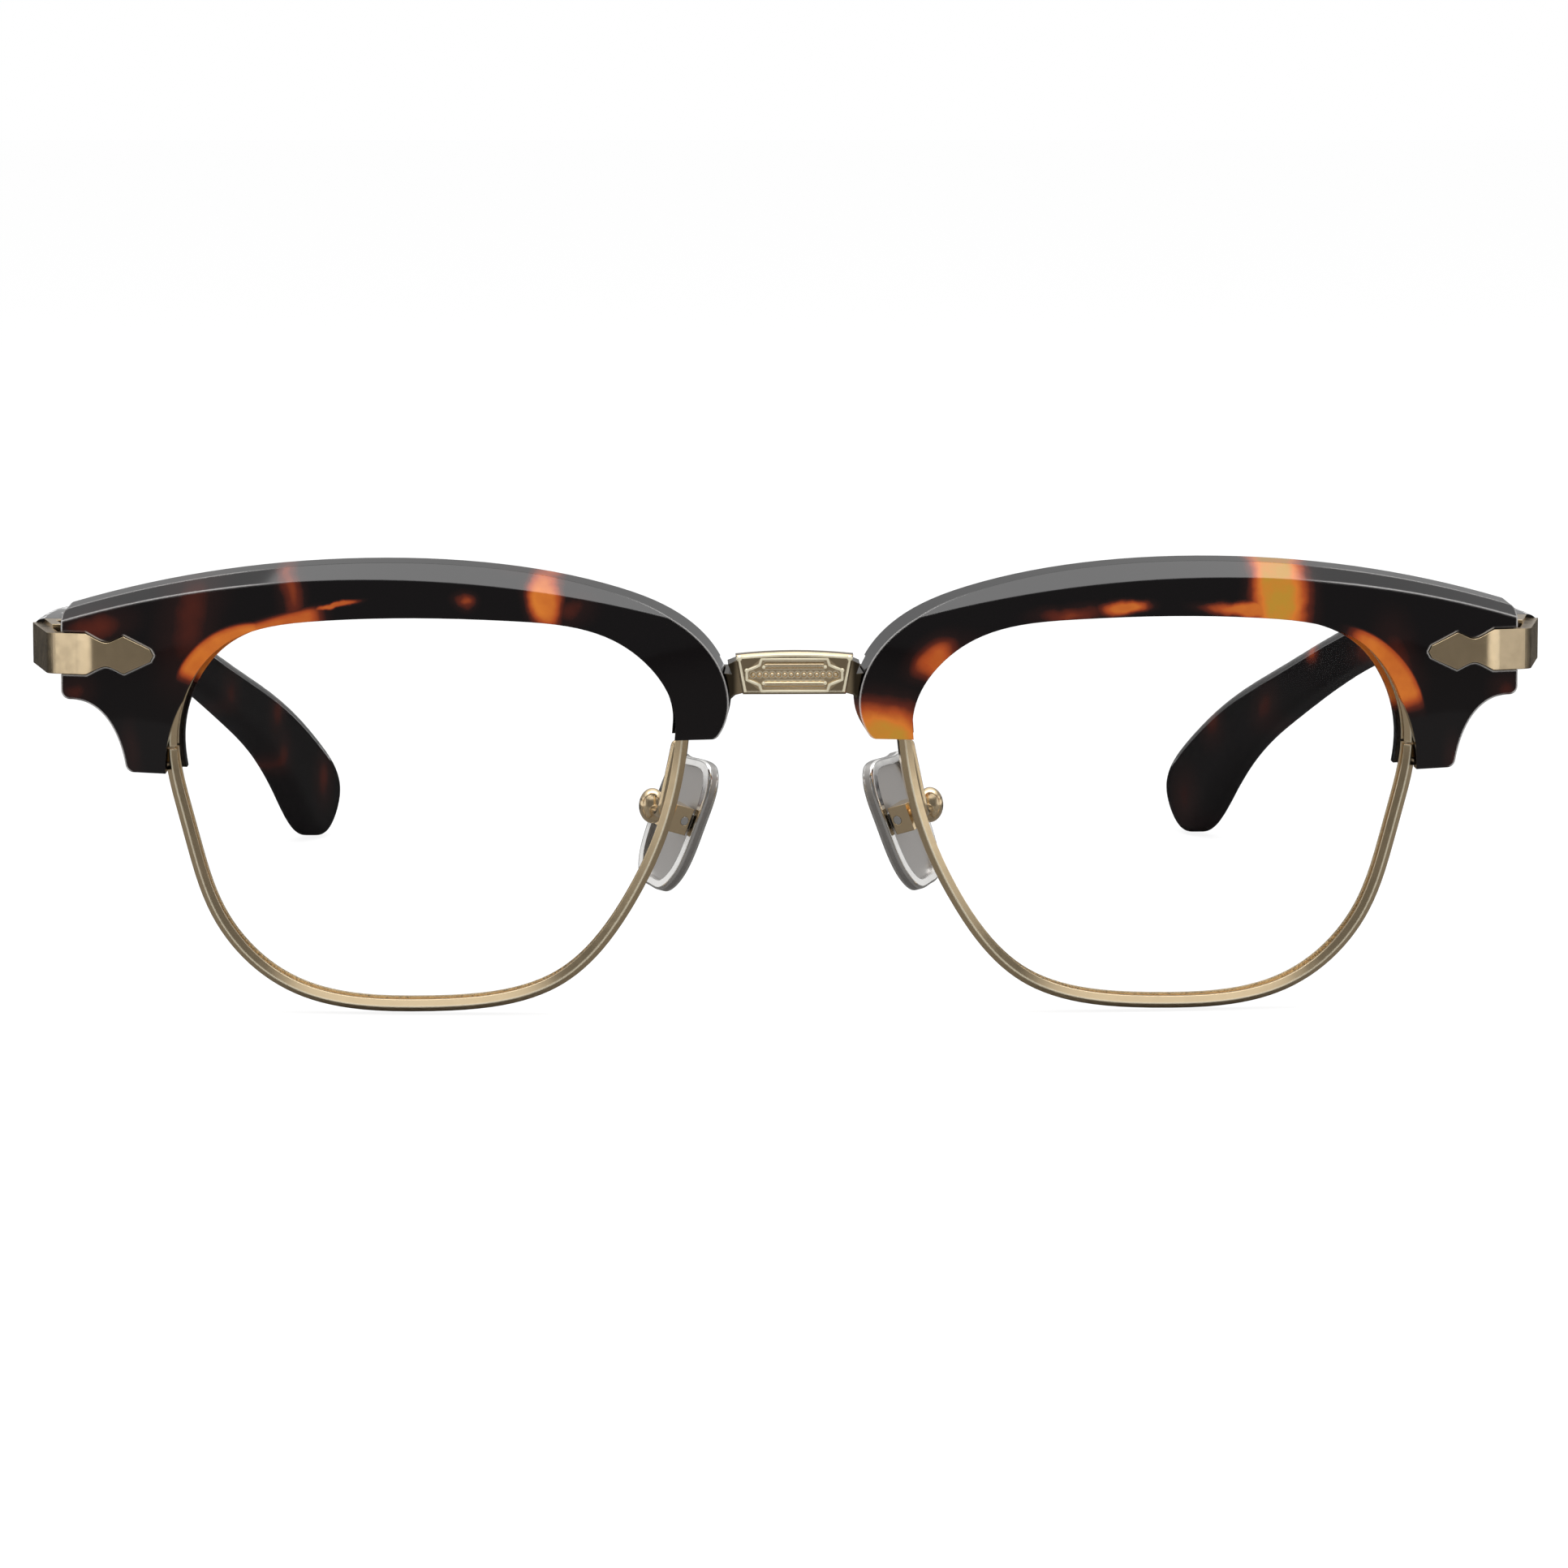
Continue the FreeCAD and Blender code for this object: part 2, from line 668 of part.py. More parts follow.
trial = spline(temple_edge(drop), Placement()).discretize(600)
drop = drop * drop / -min(point.z for point in trial)
side_place = along(hinge, -60, 0, 0)
edge_points = temple_edge(drop)
temple_wire = Part.Wire([spline(edge_points, side_place)]
                        + lines(side_place.multVec(edge_points[-1]), side_place.multVec(edge_points[0])))
temple_stock = common("temple_stock", slab("temple_slab", "sizes.temple_thickness / 2"),
                      prism("temple_side", temple_wire, Vector(1, 0, 0), 120.0))


def long_edge(edge):
    return edge.Length > 60


temple_rounded = fillet("temple_rounded", temple_stock, size("temple_round"), long_edge)
core_line = [(1.0, 0), (0.29 * far, -0.061 * drop), (0.58 * far, -0.2375 * drop),
             (0.765 * far, -0.464 * drop), (0.885 * far, -0.695 * drop)]


def core_wire(grow):
    reach = size("core_width") / 2 + grow
    curve = Part.BSplineCurve()
    curve.interpolate(side(core_line))
    first, last = curve.FirstParameter, curve.LastParameter
    edges = ([], [])
    for step in range(9):
        t = first + (last - first) * step / 8
        tangent = curve.tangent(t)[0]
        normal = Vector(0, -tangent.z, tangent.y)
        ends = tangent * (grow if step == 8 else -grow if step == 0 else 0)
        edges[0].append(curve.value(t) + normal * reach + ends)
        edges[1].append(curve.value(t) - normal * reach + ends)
    top, low_side = edges[0], edges[1][::-1]
    joins = lines(side_place.multVec(top[-1]), side_place.multVec(low_side[0]))
    closing = lines(side_place.multVec(low_side[-1]), side_place.multVec(top[0]))
    return Part.Wire([spline(top, side_place)] + joins + [spline(low_side, side_place)] + closing)


left_temple_core = common("left_temple_core", slab("core_slab", "sizes.core_thickness / 2"),
                          prism("core_side", core_wire(0.0), Vector(1, 0, 0), 120.0))
core_space = common("core_space", slab("space_slab", "sizes.core_thickness / 2 + sizes.fit_gap"),
                    prism("space_side", core_wire(gap), Vector(1, 0, 0), 120.0))
leaf_x = temple_in - hinge_x
leaf = block("leaf", along(hinge, leaf_x, butt, -strap_half),
             "sizes.leaf_thickness", "sizes.leaf_length - %s" % butt, "sizes.strap_height")
leaf_space = block("leaf_space", along(hinge, leaf_x - 4, butt - 4, -strap_half - gap),
                   "sizes.leaf_thickness + 4 + sizes.fit_gap",
                   "sizes.leaf_length + 4 - %s + sizes.fit_gap" % butt,
                   "sizes.strap_height + 2 * sizes.fit_gap")
temple_hinge_stock = fuse("temple_hinge_stock", leaf, *temple_parts)
left_temple_hinge = cut("left_temple_hinge", temple_hinge_stock, hinge_bore, left_temple_core)
left_temple = cut("left_temple", temple_rounded, leaf_space, core_space)

# bridge: plaque, two flanks that run back beside the brows, and a screw tab behind each brow
bridge_w = half_height - size("bridge_drop")
bridge_z = rim_half + bridge_w
bridge_half = size("bridge_height") / 2
plaque_top = size("bridge_width_top") / 2
plaque_low = size("bridge_width_bottom") / 2
face_y = size("bridge_front")
rear_y = face_y + size("bridge_thickness")
to_front = front.inverse()


def brow_wall(depth):
    return to_front.multVec(eye_point(nasal, sag(nasal, bridge_w, depth), bridge_w))


wall_front = brow_wall(0.0)
wall_back = brow_wall(size("brow_depth"))
tab = size("tab_thickness")
tab_y = wall_back.y - tab + 0.15
flank = 1.0
wall_step = 0.8
tab_end = wall_back.x + wall_step + size("tab_reach")
core_y = face_y + 0.35
sunk = 0.1
bridge_half_plan = [(plaque_low - 0.3, core_y), (wall_front.x + wall_step, wall_front.y + 0.5),
                    (wall_back.x + wall_step, tab_y), (tab_end, tab_y), (tab_end, tab_y + tab),
                    (wall_back.x - flank, tab_y + tab), (plaque_low - 1.2, rear_y - sunk)]
bridge_plan = bridge_half_plan + [(-x, y) for x, y in reversed(bridge_half_plan)]
bridge_wire = polygon([Vector(x, y, 0) for x, y in bridge_plan], front)
bridge_up = front.Rotation.multVec(upright)
front_back = front.Rotation.multVec(Vector(0, 1, 0))
ribbon = prism("bridge_ribbon", bridge_wire, bridge_up, 60.0)
crown = 0.3
top_z = bridge_z + bridge_half
low_z = bridge_z - bridge_half
shoulder = top_z - 2.0
heel = low_z - 0.9
ahead_front = along(front, 0, -20, 0)
plaque_face = along(front, 0, face_y, 0)


def face_points(place, points):
    return [place.multVec(Vector(x, 0, z)) for x, z in points]


def crowned(place, half_top, rest):
    right = face_points(place, [half_top] + rest)
    left = face_points(place, [(-x, z) for x, z in [half_top] + rest])
    top = face_points(place, [(0, half_top[1] + crown)])[0]
    return Part.Wire([Part.Arc(left[0], top, right[0]).toShape()] + lines(*right, *reversed(left)))


view_rest = [(wall_front.x, top_z - 1.1), (wall_back.x, shoulder), (tab_end + 1, shoulder),
             (tab_end + 1, heel), (wall_front.x, heel), (plaque_low + 0.7, low_z - 0.2),
             (plaque_low - 0.1, low_z + sunk)]
view_wire = crowned(ahead_front, (plaque_low, top_z - 0.25), view_rest)
side_rest = [(rear_y, top_z + crown), (tab_y, shoulder), (tab_y + 2, shoulder), (tab_y + 2, heel),
             (face_y - 1, heel), (face_y - 1, top_z + crown)]
side_wire = polygon([Vector(-tab_end - 2, y, z) for y, z in side_rest], front)
bridge_strip = common("bridge_strip", ribbon, prism("bridge_view", view_wire, front_back, 60.0),
                      prism("bridge_side", side_wire, Vector(1, 0, 0), 2 * tab_end + 4))
plaque_wire = crowned(plaque_face, (plaque_top, top_z), [(plaque_low, low_z)])
plaque = prism("plaque", plaque_wire, front_back, size("bridge_thickness"))


ear_x = plaque_low - size("panel_margin")
corner_x = ear_x - 1.4
panel_top = bridge_half - size("panel_margin")
ear_z = 0.45
panel_right = [(corner_x, panel_top), (corner_x + 0.2, ear_z + 0.5), (ear_x, ear_z), (ear_x, -ear_z),
               (corner_x + 0.2, -ear_z - 0.5), (corner_x, -panel_top)]
panel_shape = panel_right + [(-x, z) for x, z in reversed(panel_right)]
panel_wire = polygon([Vector(x, face_y - 1, bridge_z + z) for x, z in panel_shape], front)
panel = prism("bridge_panel", panel_wire, front_back, 1 + size("panel_depth"))
floor_y = face_y + size("panel_depth")
bead_count = int(size("bead_count"))
bead_span = ear_x - 2.5 * size("bead_radius")
relief = []
for index in range(bead_count):
    bead_x = (index / (bead_count - 1) * 2 - 1) * bead_span
    relief.append(solid("bead_%d" % index, "Sphere", along(front, bead_x, floor_y, bridge_z),
                        Radius="sizes.bead_radius"))
bar_z = (panel_top + size("bead_radius")) / 2
bar_half = corner_x - 0.3
for word, level in (("upper", bar_z), ("lower", -bar_z)):
    bar_start = front.multVec(Vector(-bar_half, floor_y, bridge_z + level))
    relief.append(rod("bar_" + word, bar_start, Vector(1, 0, 0), "%f" % (2 * bar_half),
                      "sizes.bar_radius"))
plaque_cut = cut("plaque_cut", plaque, panel)


def face_rim(edge):
    points = [to_front.multVec(vertex.Point) for vertex in edge.Vertexes]
    return all(abs(p.y - face_y) < 1e-4 and abs(p.x) > ear_x + 0.1 for p in points)


plaque_eased = chamfer("plaque_eased", plaque_cut, size("plaque_edge"), face_rim)
bridge_joined = fuse("bridge_joined", plaque_eased, bridge_strip, *relief)
screw_x = tab_end - size("tab_reach") / 2 + 0.2
screw_z = (shoulder + heel) / 2
screw_foot = front.multVec(Vector(screw_x, tab_y - size("brow_screw_length") + tab, screw_z))
brow_bore = rod("brow_bore", screw_foot - front_back * 0.1, front_back, "sizes.brow_screw_length + 4",
                "sizes.brow_screw_radius + 0.03")
tab_space = block("tab_space", along(front, wall_back.x - 0.5, tab_y - gap, heel - gap),
                  "%f + sizes.tab_reach + sizes.fit_gap" % (wall_step + 0.5), "20",
                  "%f" % (shoulder - heel + 1.0))
room_place = along(ahead, -size("brow_clearance"), 0, 0)
room_reach = 12 + sag(nasal, bridge_w, size("brow_depth")) + gap
brow_room = cut("brow_room", prism("room_prism", brow_wire(room_place), eye_back, room_reach), tab_space)
bridge = cut("bridge", bridge_joined, brow_room, mirrored("brow_room_twin", brow_room), brow_bore,
             mirrored("brow_bore_twin", brow_bore))
screw_turn = Rotation(upright, front_back)
left_brow_screw = screw("left_brow_screw", Placement(screw_foot, screw_turn),
                        "sizes.brow_screw_radius", "sizes.brow_screw_length",
                        "sizes.brow_screw_head", "sizes.brow_screw_rise")
left_brow = cut("left_brow", brow_blank, lip_open, lip_relief, back_open, channel, block_pocket,
                driver_hole, recess, rivet_holes[0], rivet_holes[1], tab_space, brow_bore)

# nose pads: a plate and boss that rock on a screw in a box at the end of the pad arm
pad_splay = math.radians(size("pad_splay"))
lean = math.radians(size("pad_lean"))
pad_up = Vector(-math.sin(lean), 0, math.cos(lean))
pad_side = Vector(-math.cos(lean), 0, -math.sin(lean))
pad_nose = pad_side * math.cos(pad_splay) + Vector(0, 1, 0) * math.sin(pad_splay)
pad_rear = pad_side * -math.sin(pad_splay) + Vector(0, 1, 0) * math.cos(pad_splay)
pad_centre = Vector(size("pad_spread"), size("pad_setback") - back_set, size("pad_height"))
pad = Placement(pad_centre, Rotation(pad_rear * -1, pad_up, pad_nose, "ZYX"))
PAD_SHAPE = [(-0.66, 0.97), (0.0, 1.0), (0.64, 0.98), (0.88, 0.78), (0.98, 0.2), (0.96, -0.35),
             (0.70, -0.84), (0.44, -0.98), (0.0, -1.0), (-0.42, -0.98), (-0.68, -0.84),
             (-0.93, -0.35), (-0.96, 0.2), (-0.88, 0.78)]


def pad_wire(inset, height):
    wide = size("pad_width") / 2 - inset
    long = size("pad_length") / 2 - inset
    curve = Part.BSplineCurve()
    curve.interpolate([pad.multVec(Vector(x * wide, y * long, height)) for x, y in PAD_SHAPE],
                      PeriodicFlag=True)
    return Part.Wire(curve.toShape())


axis_n = -0.9
joint = along(pad, size("box_forward"), size("box_raise"), 0)
plate = prism("pad_plate", pad_wire(0.0, 0.0), pad_nose, size("pad_thickness"))
plate_round = fillet("pad_plate_round", plate, size("pad_edge"), lambda edge: edge.Length > 20)
tray = prism("pad_tray", pad_wire(size("pad_border"), -1.0), pad_nose, 1.0 + size("pad_recess"))
boss_half = size("box_width") / 2 - 0.6
boss = block("pad_boss", along(joint, -boss_half, -boss_half, axis_n - boss_half),
             str(2 * boss_half), str(2 * boss_half), "sizes.pad_recess + 0.1 + %s" % (boss_half - axis_n))
pad_bore = rod("pad_bore", joint.multVec(Vector(6, 0, axis_n)), pad_rear, "12",
               "sizes.pad_screw_radius + 0.03")
pad_stock = fuse("pad_stock", cut("pad_plate_cut", plate_round, tray), boss)
left_nose_pad = cut("left_nose_pad", pad_stock, pad_bore)
box_base = axis_n - boss_half - 0.25 - 0.45
box_stock = block("box_stock", along(joint, -size("box_width") / 2, -size("box_length") / 2, box_base),
                  "sizes.box_width", "sizes.box_length", "sizes.box_depth")
box_space = block("box_space",
                  along(joint, -boss_half - 0.08, -boss_half - 0.27, axis_n - boss_half - 0.25),
                  str(2 * boss_half + 0.16), str(2 * boss_half + 0.54), "8")
left_pad_box = cut("left_pad_box", box_stock, box_space, pad_bore)
screw_seat = joint.multVec(Vector(size("box_width") / 2, 0, axis_n))
left_pad_screw = screw("left_pad_screw", Placement(screw_seat, Rotation(upright, pad_rear)),
                       "sizes.pad_screw_radius", "sizes.box_width", "sizes.pad_screw_head",
                       "sizes.pad_screw_rise")
box_back = joint.multVec(Vector(0, 0, box_base))


def rim_back(height, lift):
    upper, lower = lens_curve.FirstParameter, lens_curve.parameter(
        Vector(LENS_SHAPE[3][0] * half_width, 0, LENS_SHAPE[3][1] * half_height))
    for _ in range(30):
        middle = (upper + lower) / 2
        if lens_curve.value(middle).z > height:
            upper = middle
        else:
            lower = middle
    along_rim = lens_curve.tangent(upper)[0]
    point = lens_curve.value(upper) + Vector(-along_rim.z, 0, along_rim.x) * size("foot_inset")
    depth = size("front_lip") + size("rim_depth")
    return eye_point(point.x, sag(point.x, point.z, depth) + lift, point.z)


seat = size("arm_radius") * 0.7
arm_points = [rim_back(size("foot_top"), seat), rim_back(size("foot_bottom"), seat),
              box_back - pad_nose * 1.6, box_back]


def bent_path(points, bend):
    edges = []
    start = points[0]
    for before, here, after in zip(points, points[1:], points[2:]):
        toward = (before - here).normalize()
        onward = (after - here).normalize()
        half_angle = toward.getAngle(onward) / 2
        trim = bend / math.tan(half_angle)
        enter = here + toward * trim
        leave = here + onward * trim
        bisector = (toward + onward).normalize()
        middle = here + bisector * (bend / math.sin(half_angle) - bend)
        edges.append(Part.LineSegment(start, enter).toShape())
        edges.append(Part.Arc(enter, middle, leave).toShape())
        start = leave
    edges.append(Part.LineSegment(start, points[-1]).toShape())
    return Part.Wire(edges)


arm_path = outline("arm_path", bent_path(arm_points, size("arm_bend")))
arm_start = Placement(arm_points[0], Rotation(upright, arm_points[1] - arm_points[0]))
arm_section = solid("arm_section", "Circle", arm_start, Radius="sizes.arm_radius")
arm_wire = doc.addObject("Part::Sweep", "arm_wire")
arm_wire.Sections = [arm_section]
arm_wire.Spine = (arm_path, ["Edge%d" % (i + 1) for i in range(len(arm_path.Shape.Edges))])
arm_wire.Solid = True
arm_wire.Frenet = False
knuckle = solid("arm_knuckle", "Ellipsoid",
                Placement(arm_points[2] + upright * size("knuckle_rise"), Rotation()),
                Radius1="sizes.knuckle_height", Radius2="sizes.knuckle_width",
                Radius3="sizes.knuckle_depth")
arm_end = solid("arm_end", "Sphere", arm_start, Radius="sizes.arm_radius")
left_pad_arm = cut("left_pad_arm", fuse("arm_joined", arm_wire, knuckle, arm_end), rim_blank)

halves = {
    "eyewire": left_eyewire,
    "lens": left_lens,
    "block_lower": left_block_lower,
    "block_upper": left_block_upper,
    "closing_screw": left_closing_screw,
    "brow": left_brow,
    "brow_screw": left_brow_screw,
    "endpiece": left_endpiece,
    "rivet_inner": rivets[0],
    "rivet_outer": rivets[1],
    "front_hinge": left_front_hinge,
    "hinge_screw": left_hinge_screw,
    "temple_hinge": left_temple_hinge,
    "temple_core": left_temple_core,
    "temple": left_temple,
    "pad_arm": left_pad_arm,
    "pad_box": left_pad_box,
    "pad_screw": left_pad_screw,
    "nose_pad": left_nose_pad,
}
nodes = [bridge]
for word, half in halves.items():
    half.Label = "left_" + word
    nodes.append(half)
    nodes.append(mirrored("right_" + word, half))
doc.recompute()
print("hinge axis at", hinge.Base, "pad axis at", joint.multVec(Vector(0, 0, axis_n)), "along", pad_rear)

for thing in doc.Objects:
    if "Invalid" in thing.State or "Error" in thing.State:
        raise RuntimeError("%s did not build" % thing.Label)
for node in nodes:
    if not node.Shape.isValid() or len(node.Shape.Solids) != 1:
        raise RuntimeError("%s is not one valid solid" % node.Label)
os.makedirs("parts", exist_ok=True)
for node in nodes:
    node.Shape.exportStep("parts/%s.step" % node.Label)
print("exported", len(nodes), "nodes")
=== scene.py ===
import json
import math
import bpy
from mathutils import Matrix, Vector


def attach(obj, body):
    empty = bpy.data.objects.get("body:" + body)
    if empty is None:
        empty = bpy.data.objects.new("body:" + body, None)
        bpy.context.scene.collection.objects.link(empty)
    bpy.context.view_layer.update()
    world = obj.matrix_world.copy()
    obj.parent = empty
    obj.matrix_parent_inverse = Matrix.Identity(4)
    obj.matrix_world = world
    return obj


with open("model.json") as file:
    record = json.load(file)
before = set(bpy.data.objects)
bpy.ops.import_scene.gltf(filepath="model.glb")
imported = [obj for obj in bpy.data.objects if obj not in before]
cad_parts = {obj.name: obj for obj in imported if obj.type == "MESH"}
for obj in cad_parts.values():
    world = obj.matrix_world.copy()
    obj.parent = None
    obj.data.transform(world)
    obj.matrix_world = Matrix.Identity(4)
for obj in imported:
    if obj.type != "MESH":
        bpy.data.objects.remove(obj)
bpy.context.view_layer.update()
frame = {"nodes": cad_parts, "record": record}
nodes = frame["nodes"]
scene = bpy.context.scene
scene.view_settings.view_transform = "Standard"
mm = 0.001
noiseSpan = (0.3, 0.7)  # most of a noise texture's values
edgeSamples = 6  # of the soft edges


# shader helpers
def newMaterial(name):
    material = bpy.data.materials.new(name)
    material.use_nodes = True
    tree = material.node_tree
    tree.nodes.clear()
    output = addNode(tree, "OutputMaterial")
    return material, tree, output


def addNode(tree, kind, **settings):
    node = tree.nodes.new("ShaderNode" + kind)
    for key, value in settings.items():
        setattr(node, key, value)
    return node


def feed(tree, socket, value):
    if isinstance(value, (int, float, tuple)):
        socket.default_value = value
    else:
        tree.links.new(value, socket)


def mathNode(tree, operation, *values):
    node = addNode(tree, "Math", operation=operation)
    for socket, value in zip(node.inputs, values):
        feed(tree, socket, value)
    return node.outputs[0]


def vectorNode(tree, operation, *values):
    node = addNode(tree, "VectorMath", operation=operation)
    for socket, value in zip(node.inputs, values):
        feed(tree, socket, value)
    return node.outputs["Value" if operation in ("LENGTH", "DOT_PRODUCT") else "Vector"]


def scaleNode(tree, vector, factor):
    node = addNode(tree, "VectorMath", operation="SCALE")
    tree.links.new(vector, node.inputs[0])
    tree.links.new(factor, node.inputs["Scale"])
    return node.outputs["Vector"]


def splitNode(tree, vector):
    node = addNode(tree, "SeparateXYZ")
    tree.links.new(vector, node.inputs[0])
    return node.outputs


def rangeNode(tree, value, low, high, start=0.0, end=1.0):
    node = addNode(tree, "MapRange", interpolation_type="SMOOTHSTEP")
    tree.links.new(value, node.inputs["Value"])
    node.inputs["From Min"].default_value = low
    node.inputs["From Max"].default_value = high
    node.inputs["To Min"].default_value = start
    node.inputs["To Max"].default_value = end
    return node.outputs["Result"]


def mixNode(tree, factor, first, color):
    node = addNode(tree, "MixRGB")
    tree.links.new(factor, node.inputs["Fac"])
    tree.links.new(first, node.inputs["Color1"])
    node.inputs["Color2"].default_value = color + (1,)
    return node.outputs[0]


def noiseNode(tree, place, scale, detail):
    node = addNode(tree, "TexNoise")
    node.inputs["Scale"].default_value = scale
    node.inputs["Detail"].default_value = detail
    tree.links.new(place, node.inputs["Vector"])
    return node.outputs


def softEdges(tree, radius):
    node = addNode(tree, "Bevel", samples=edgeSamples)
    node.inputs["Radius"].default_value = radius * mm
    return node.outputs["Normal"]


def edgeBend(tree, rounded, span):
    flat = addNode(tree, "NewGeometry").outputs["Normal"]
    return rangeNode(tree, vectorNode(tree, "DOT_PRODUCT", rounded, flat), *span)


# camera and studio, lengths in m unless marked
studio = {
    "target": (-0.92, -69.7, 22.2),  # mm
    "distance": 600.0,  # mm
    "azimuth": -1.8,  # degrees
    "elevation": 6.85,  # degrees
    "lens": 145.34,  # mm
    "sensor": 36.0,  # mm
    "clip": (0.01, 50.0),
    "floorSize": 6.0,
    "floorPlace": (0.0, 1.5),
    "floorLevel": -0.0003,
    "floorColor": (0.86, 0.86, 0.85),
    "floorGlow": 0.88,  # share of the floor's white that needs no light
    "floorShade": 0.22,
    "softBoxes": [  # place, size, power, whether it shows in reflections
        ("topBox", (0.0, -0.155, 0.78), (1.2, 0.66), 5.4, True),
        ("frontBox", (0.0, -0.62, 0.62), (0.8, 0.16), 0.8, False),
    ],
    "roomLevel": 0.5,  # even room light
    "frontLevel": 0.16,  # dark room behind the camera, in reflections
    "backLevel": 0.38,  # backdrop
    "backTurn": (-0.05, 0.3),  # directions between the two
    "sideLevel": 1.0,
    "sideTurn": (0.80, 0.90),
    "overheadLevel": 1.0,
    "overheadTurn": (0.42, 0.68),
    "cards": [  # grey cards on the floor, only in reflections, lowest first: place, size, colour
        ("frontCard", (0.0, -0.92), (2.4, 1.36), (0.15, 0.145, 0.14)),
        ("underCard", (0.0, -0.08), (0.66, 0.32), (0.22, 0.215, 0.21)),
        ("flankCard", (0.0, 0.36), (0.9, 0.56), (0.065, 0.063, 0.06)),
        ("backCard", (0.0, 0.32), (0.26, 0.64), (0.03, 0.03, 0.03)),
    ],
    "cardLift": 0.00005,
}


def buildWorld():
    world = bpy.data.worlds.new("studioWorld")
    scene.world = world
    world.use_nodes = True
    tree = world.node_tree
    tree.nodes.clear()
    output = addNode(tree, "OutputWorld")
    background = addNode(tree, "Background")
    way = splitNode(tree, addNode(tree, "TexCoord").outputs["Generated"])
    back = rangeNode(tree, way["Y"], *studio["backTurn"], studio["frontLevel"], studio["backLevel"])
    aside = mathNode(tree, "ABSOLUTE", way["X"])
    sideways = rangeNode(tree, aside, *studio["sideTurn"], 0.0, studio["sideLevel"])
    overhead = rangeNode(tree, way["Z"], *studio["overheadTurn"], 0.0, studio["overheadLevel"])
    mirrored = mathNode(tree, "MAXIMUM", mathNode(tree, "MAXIMUM", back, sideways), overhead)
    rays = addNode(tree, "LightPath").outputs
    seen = mathNode(tree, "MAXIMUM", rays["Is Camera Ray"], rays["Is Transmission Ray"])
    glossy = mathNode(tree, "MULTIPLY", rays["Is Glossy Ray"], mirrored)
    even = mathNode(tree, "MULTIPLY", rays["Is Diffuse Ray"], studio["roomLevel"])
    level = mathNode(tree, "MAXIMUM", mathNode(tree, "MAXIMUM", glossy, even), seen)
    background.inputs["Color"].default_value = (1, 1, 1, 1)
    tree.links.new(level, background.inputs["Strength"])
    tree.links.new(background.outputs[0], output.inputs["Surface"])


def addPlane(name, size, place, height):
    bpy.ops.object.select_all(action="DESELECT")
    bpy.ops.mesh.primitive_plane_add(size=size, location=place + (height,))
    plane = bpy.context.object
    plane.name = name
    return plane


def buildFloor():
    floor = addPlane("studioFloor", studio["floorSize"], studio["floorPlace"], studio["floorLevel"])
    material, tree, output = newMaterial("paleFloor")
    diffuse = addNode(tree, "BsdfDiffuse")
    diffuse.inputs["Color"].default_value = studio["floorColor"] + (1,)
    glow = addNode(tree, "Emission")
    glow.inputs["Strength"].default_value = studio["floorGlow"]
    soft = addNode(tree, "BsdfDiffuse")
    soft.inputs["Color"].default_value = (studio["floorShade"],) * 3 + (1,)
    seen = addNode(tree, "AddShader")
    tree.links.new(glow.outputs[0], seen.inputs[0])
    tree.links.new(soft.outputs[0], seen.inputs[1])
    rays = addNode(tree, "LightPath").outputs
    direct = mathNode(tree, "MAXIMUM", rays["Is Camera Ray"], rays["Is Glossy Ray"])
    direct = mathNode(tree, "MAXIMUM", direct, rays["Is Transmission Ray"])
    mix = addNode(tree, "MixShader")
    tree.links.new(direct, mix.inputs[0])
    tree.links.new(diffuse.outputs[0], mix.inputs[1])
    tree.links.new(seen.outputs[0], mix.inputs[2])
    tree.links.new(mix.outputs[0], output.inputs["Surface"])
    floor.data.materials.append(material)


def buildCards():
    for step, (name, place, sides, color) in enumerate(studio["cards"], 1):
        card = addPlane(name, 1.0, place, studio["floorLevel"] + step * studio["cardLift"])
        card.scale = sides + (1.0,)
        bpy.ops.object.transform_apply(location=True, rotation=False, scale=True)
        card.visible_camera = card.visible_diffuse = False
        card.visible_transmission = card.visible_shadow = False
        material, tree, output = newMaterial(name)
        matt = addNode(tree, "BsdfDiffuse")
        matt.inputs["Color"].default_value = color + (1,)
        tree.links.new(matt.outputs[0], output.inputs["Surface"])
        card.data.materials.append(material)


def buildLamps():
    aim = Vector(studio["target"]) * mm
    for name, place, sides, power, inGloss in studio["softBoxes"]:
        lampData = bpy.data.lights.new(name, "AREA")
        lampData.shape = "RECTANGLE"
        lampData.size, lampData.size_y = sides
        lampData.energy = power
        lamp = bpy.data.objects.new(name, lampData)
        lamp.location = place
        lamp.visible_glossy = inGloss
        lamp.rotation_mode = "QUATERNION"
        lamp.rotation_quaternion = (aim - Vector(place)).to_track_quat("-Z", "Y")
        scene.collection.objects.link(lamp)


def buildCamera():
    turn, rise = math.radians(studio["azimuth"]), math.radians(studio["elevation"])
    back = Vector((math.sin(turn) * math.cos(rise), -math.cos(turn) * math.cos(rise), math.sin(rise)))
    cameraData = bpy.data.cameras.new("photoCamera")
    cameraData.lens = studio["lens"]
    cameraData.sensor_width = studio["sensor"]
    cameraData.clip_start, cameraData.clip_end = studio["clip"]
    camera = bpy.data.objects.new("photoCamera", cameraData)
    camera.location = (Vector(studio["target"]) + back * studio["distance"]) * mm
    camera.rotation_mode = "QUATERNION"
    camera.rotation_quaternion = (-back).to_track_quat("-Z", "Y")
    scene.collection.objects.link(camera)
    scene.camera = camera


buildWorld()
buildFloor()
buildCards()
buildLamps()
buildCamera()
print("studio ready")

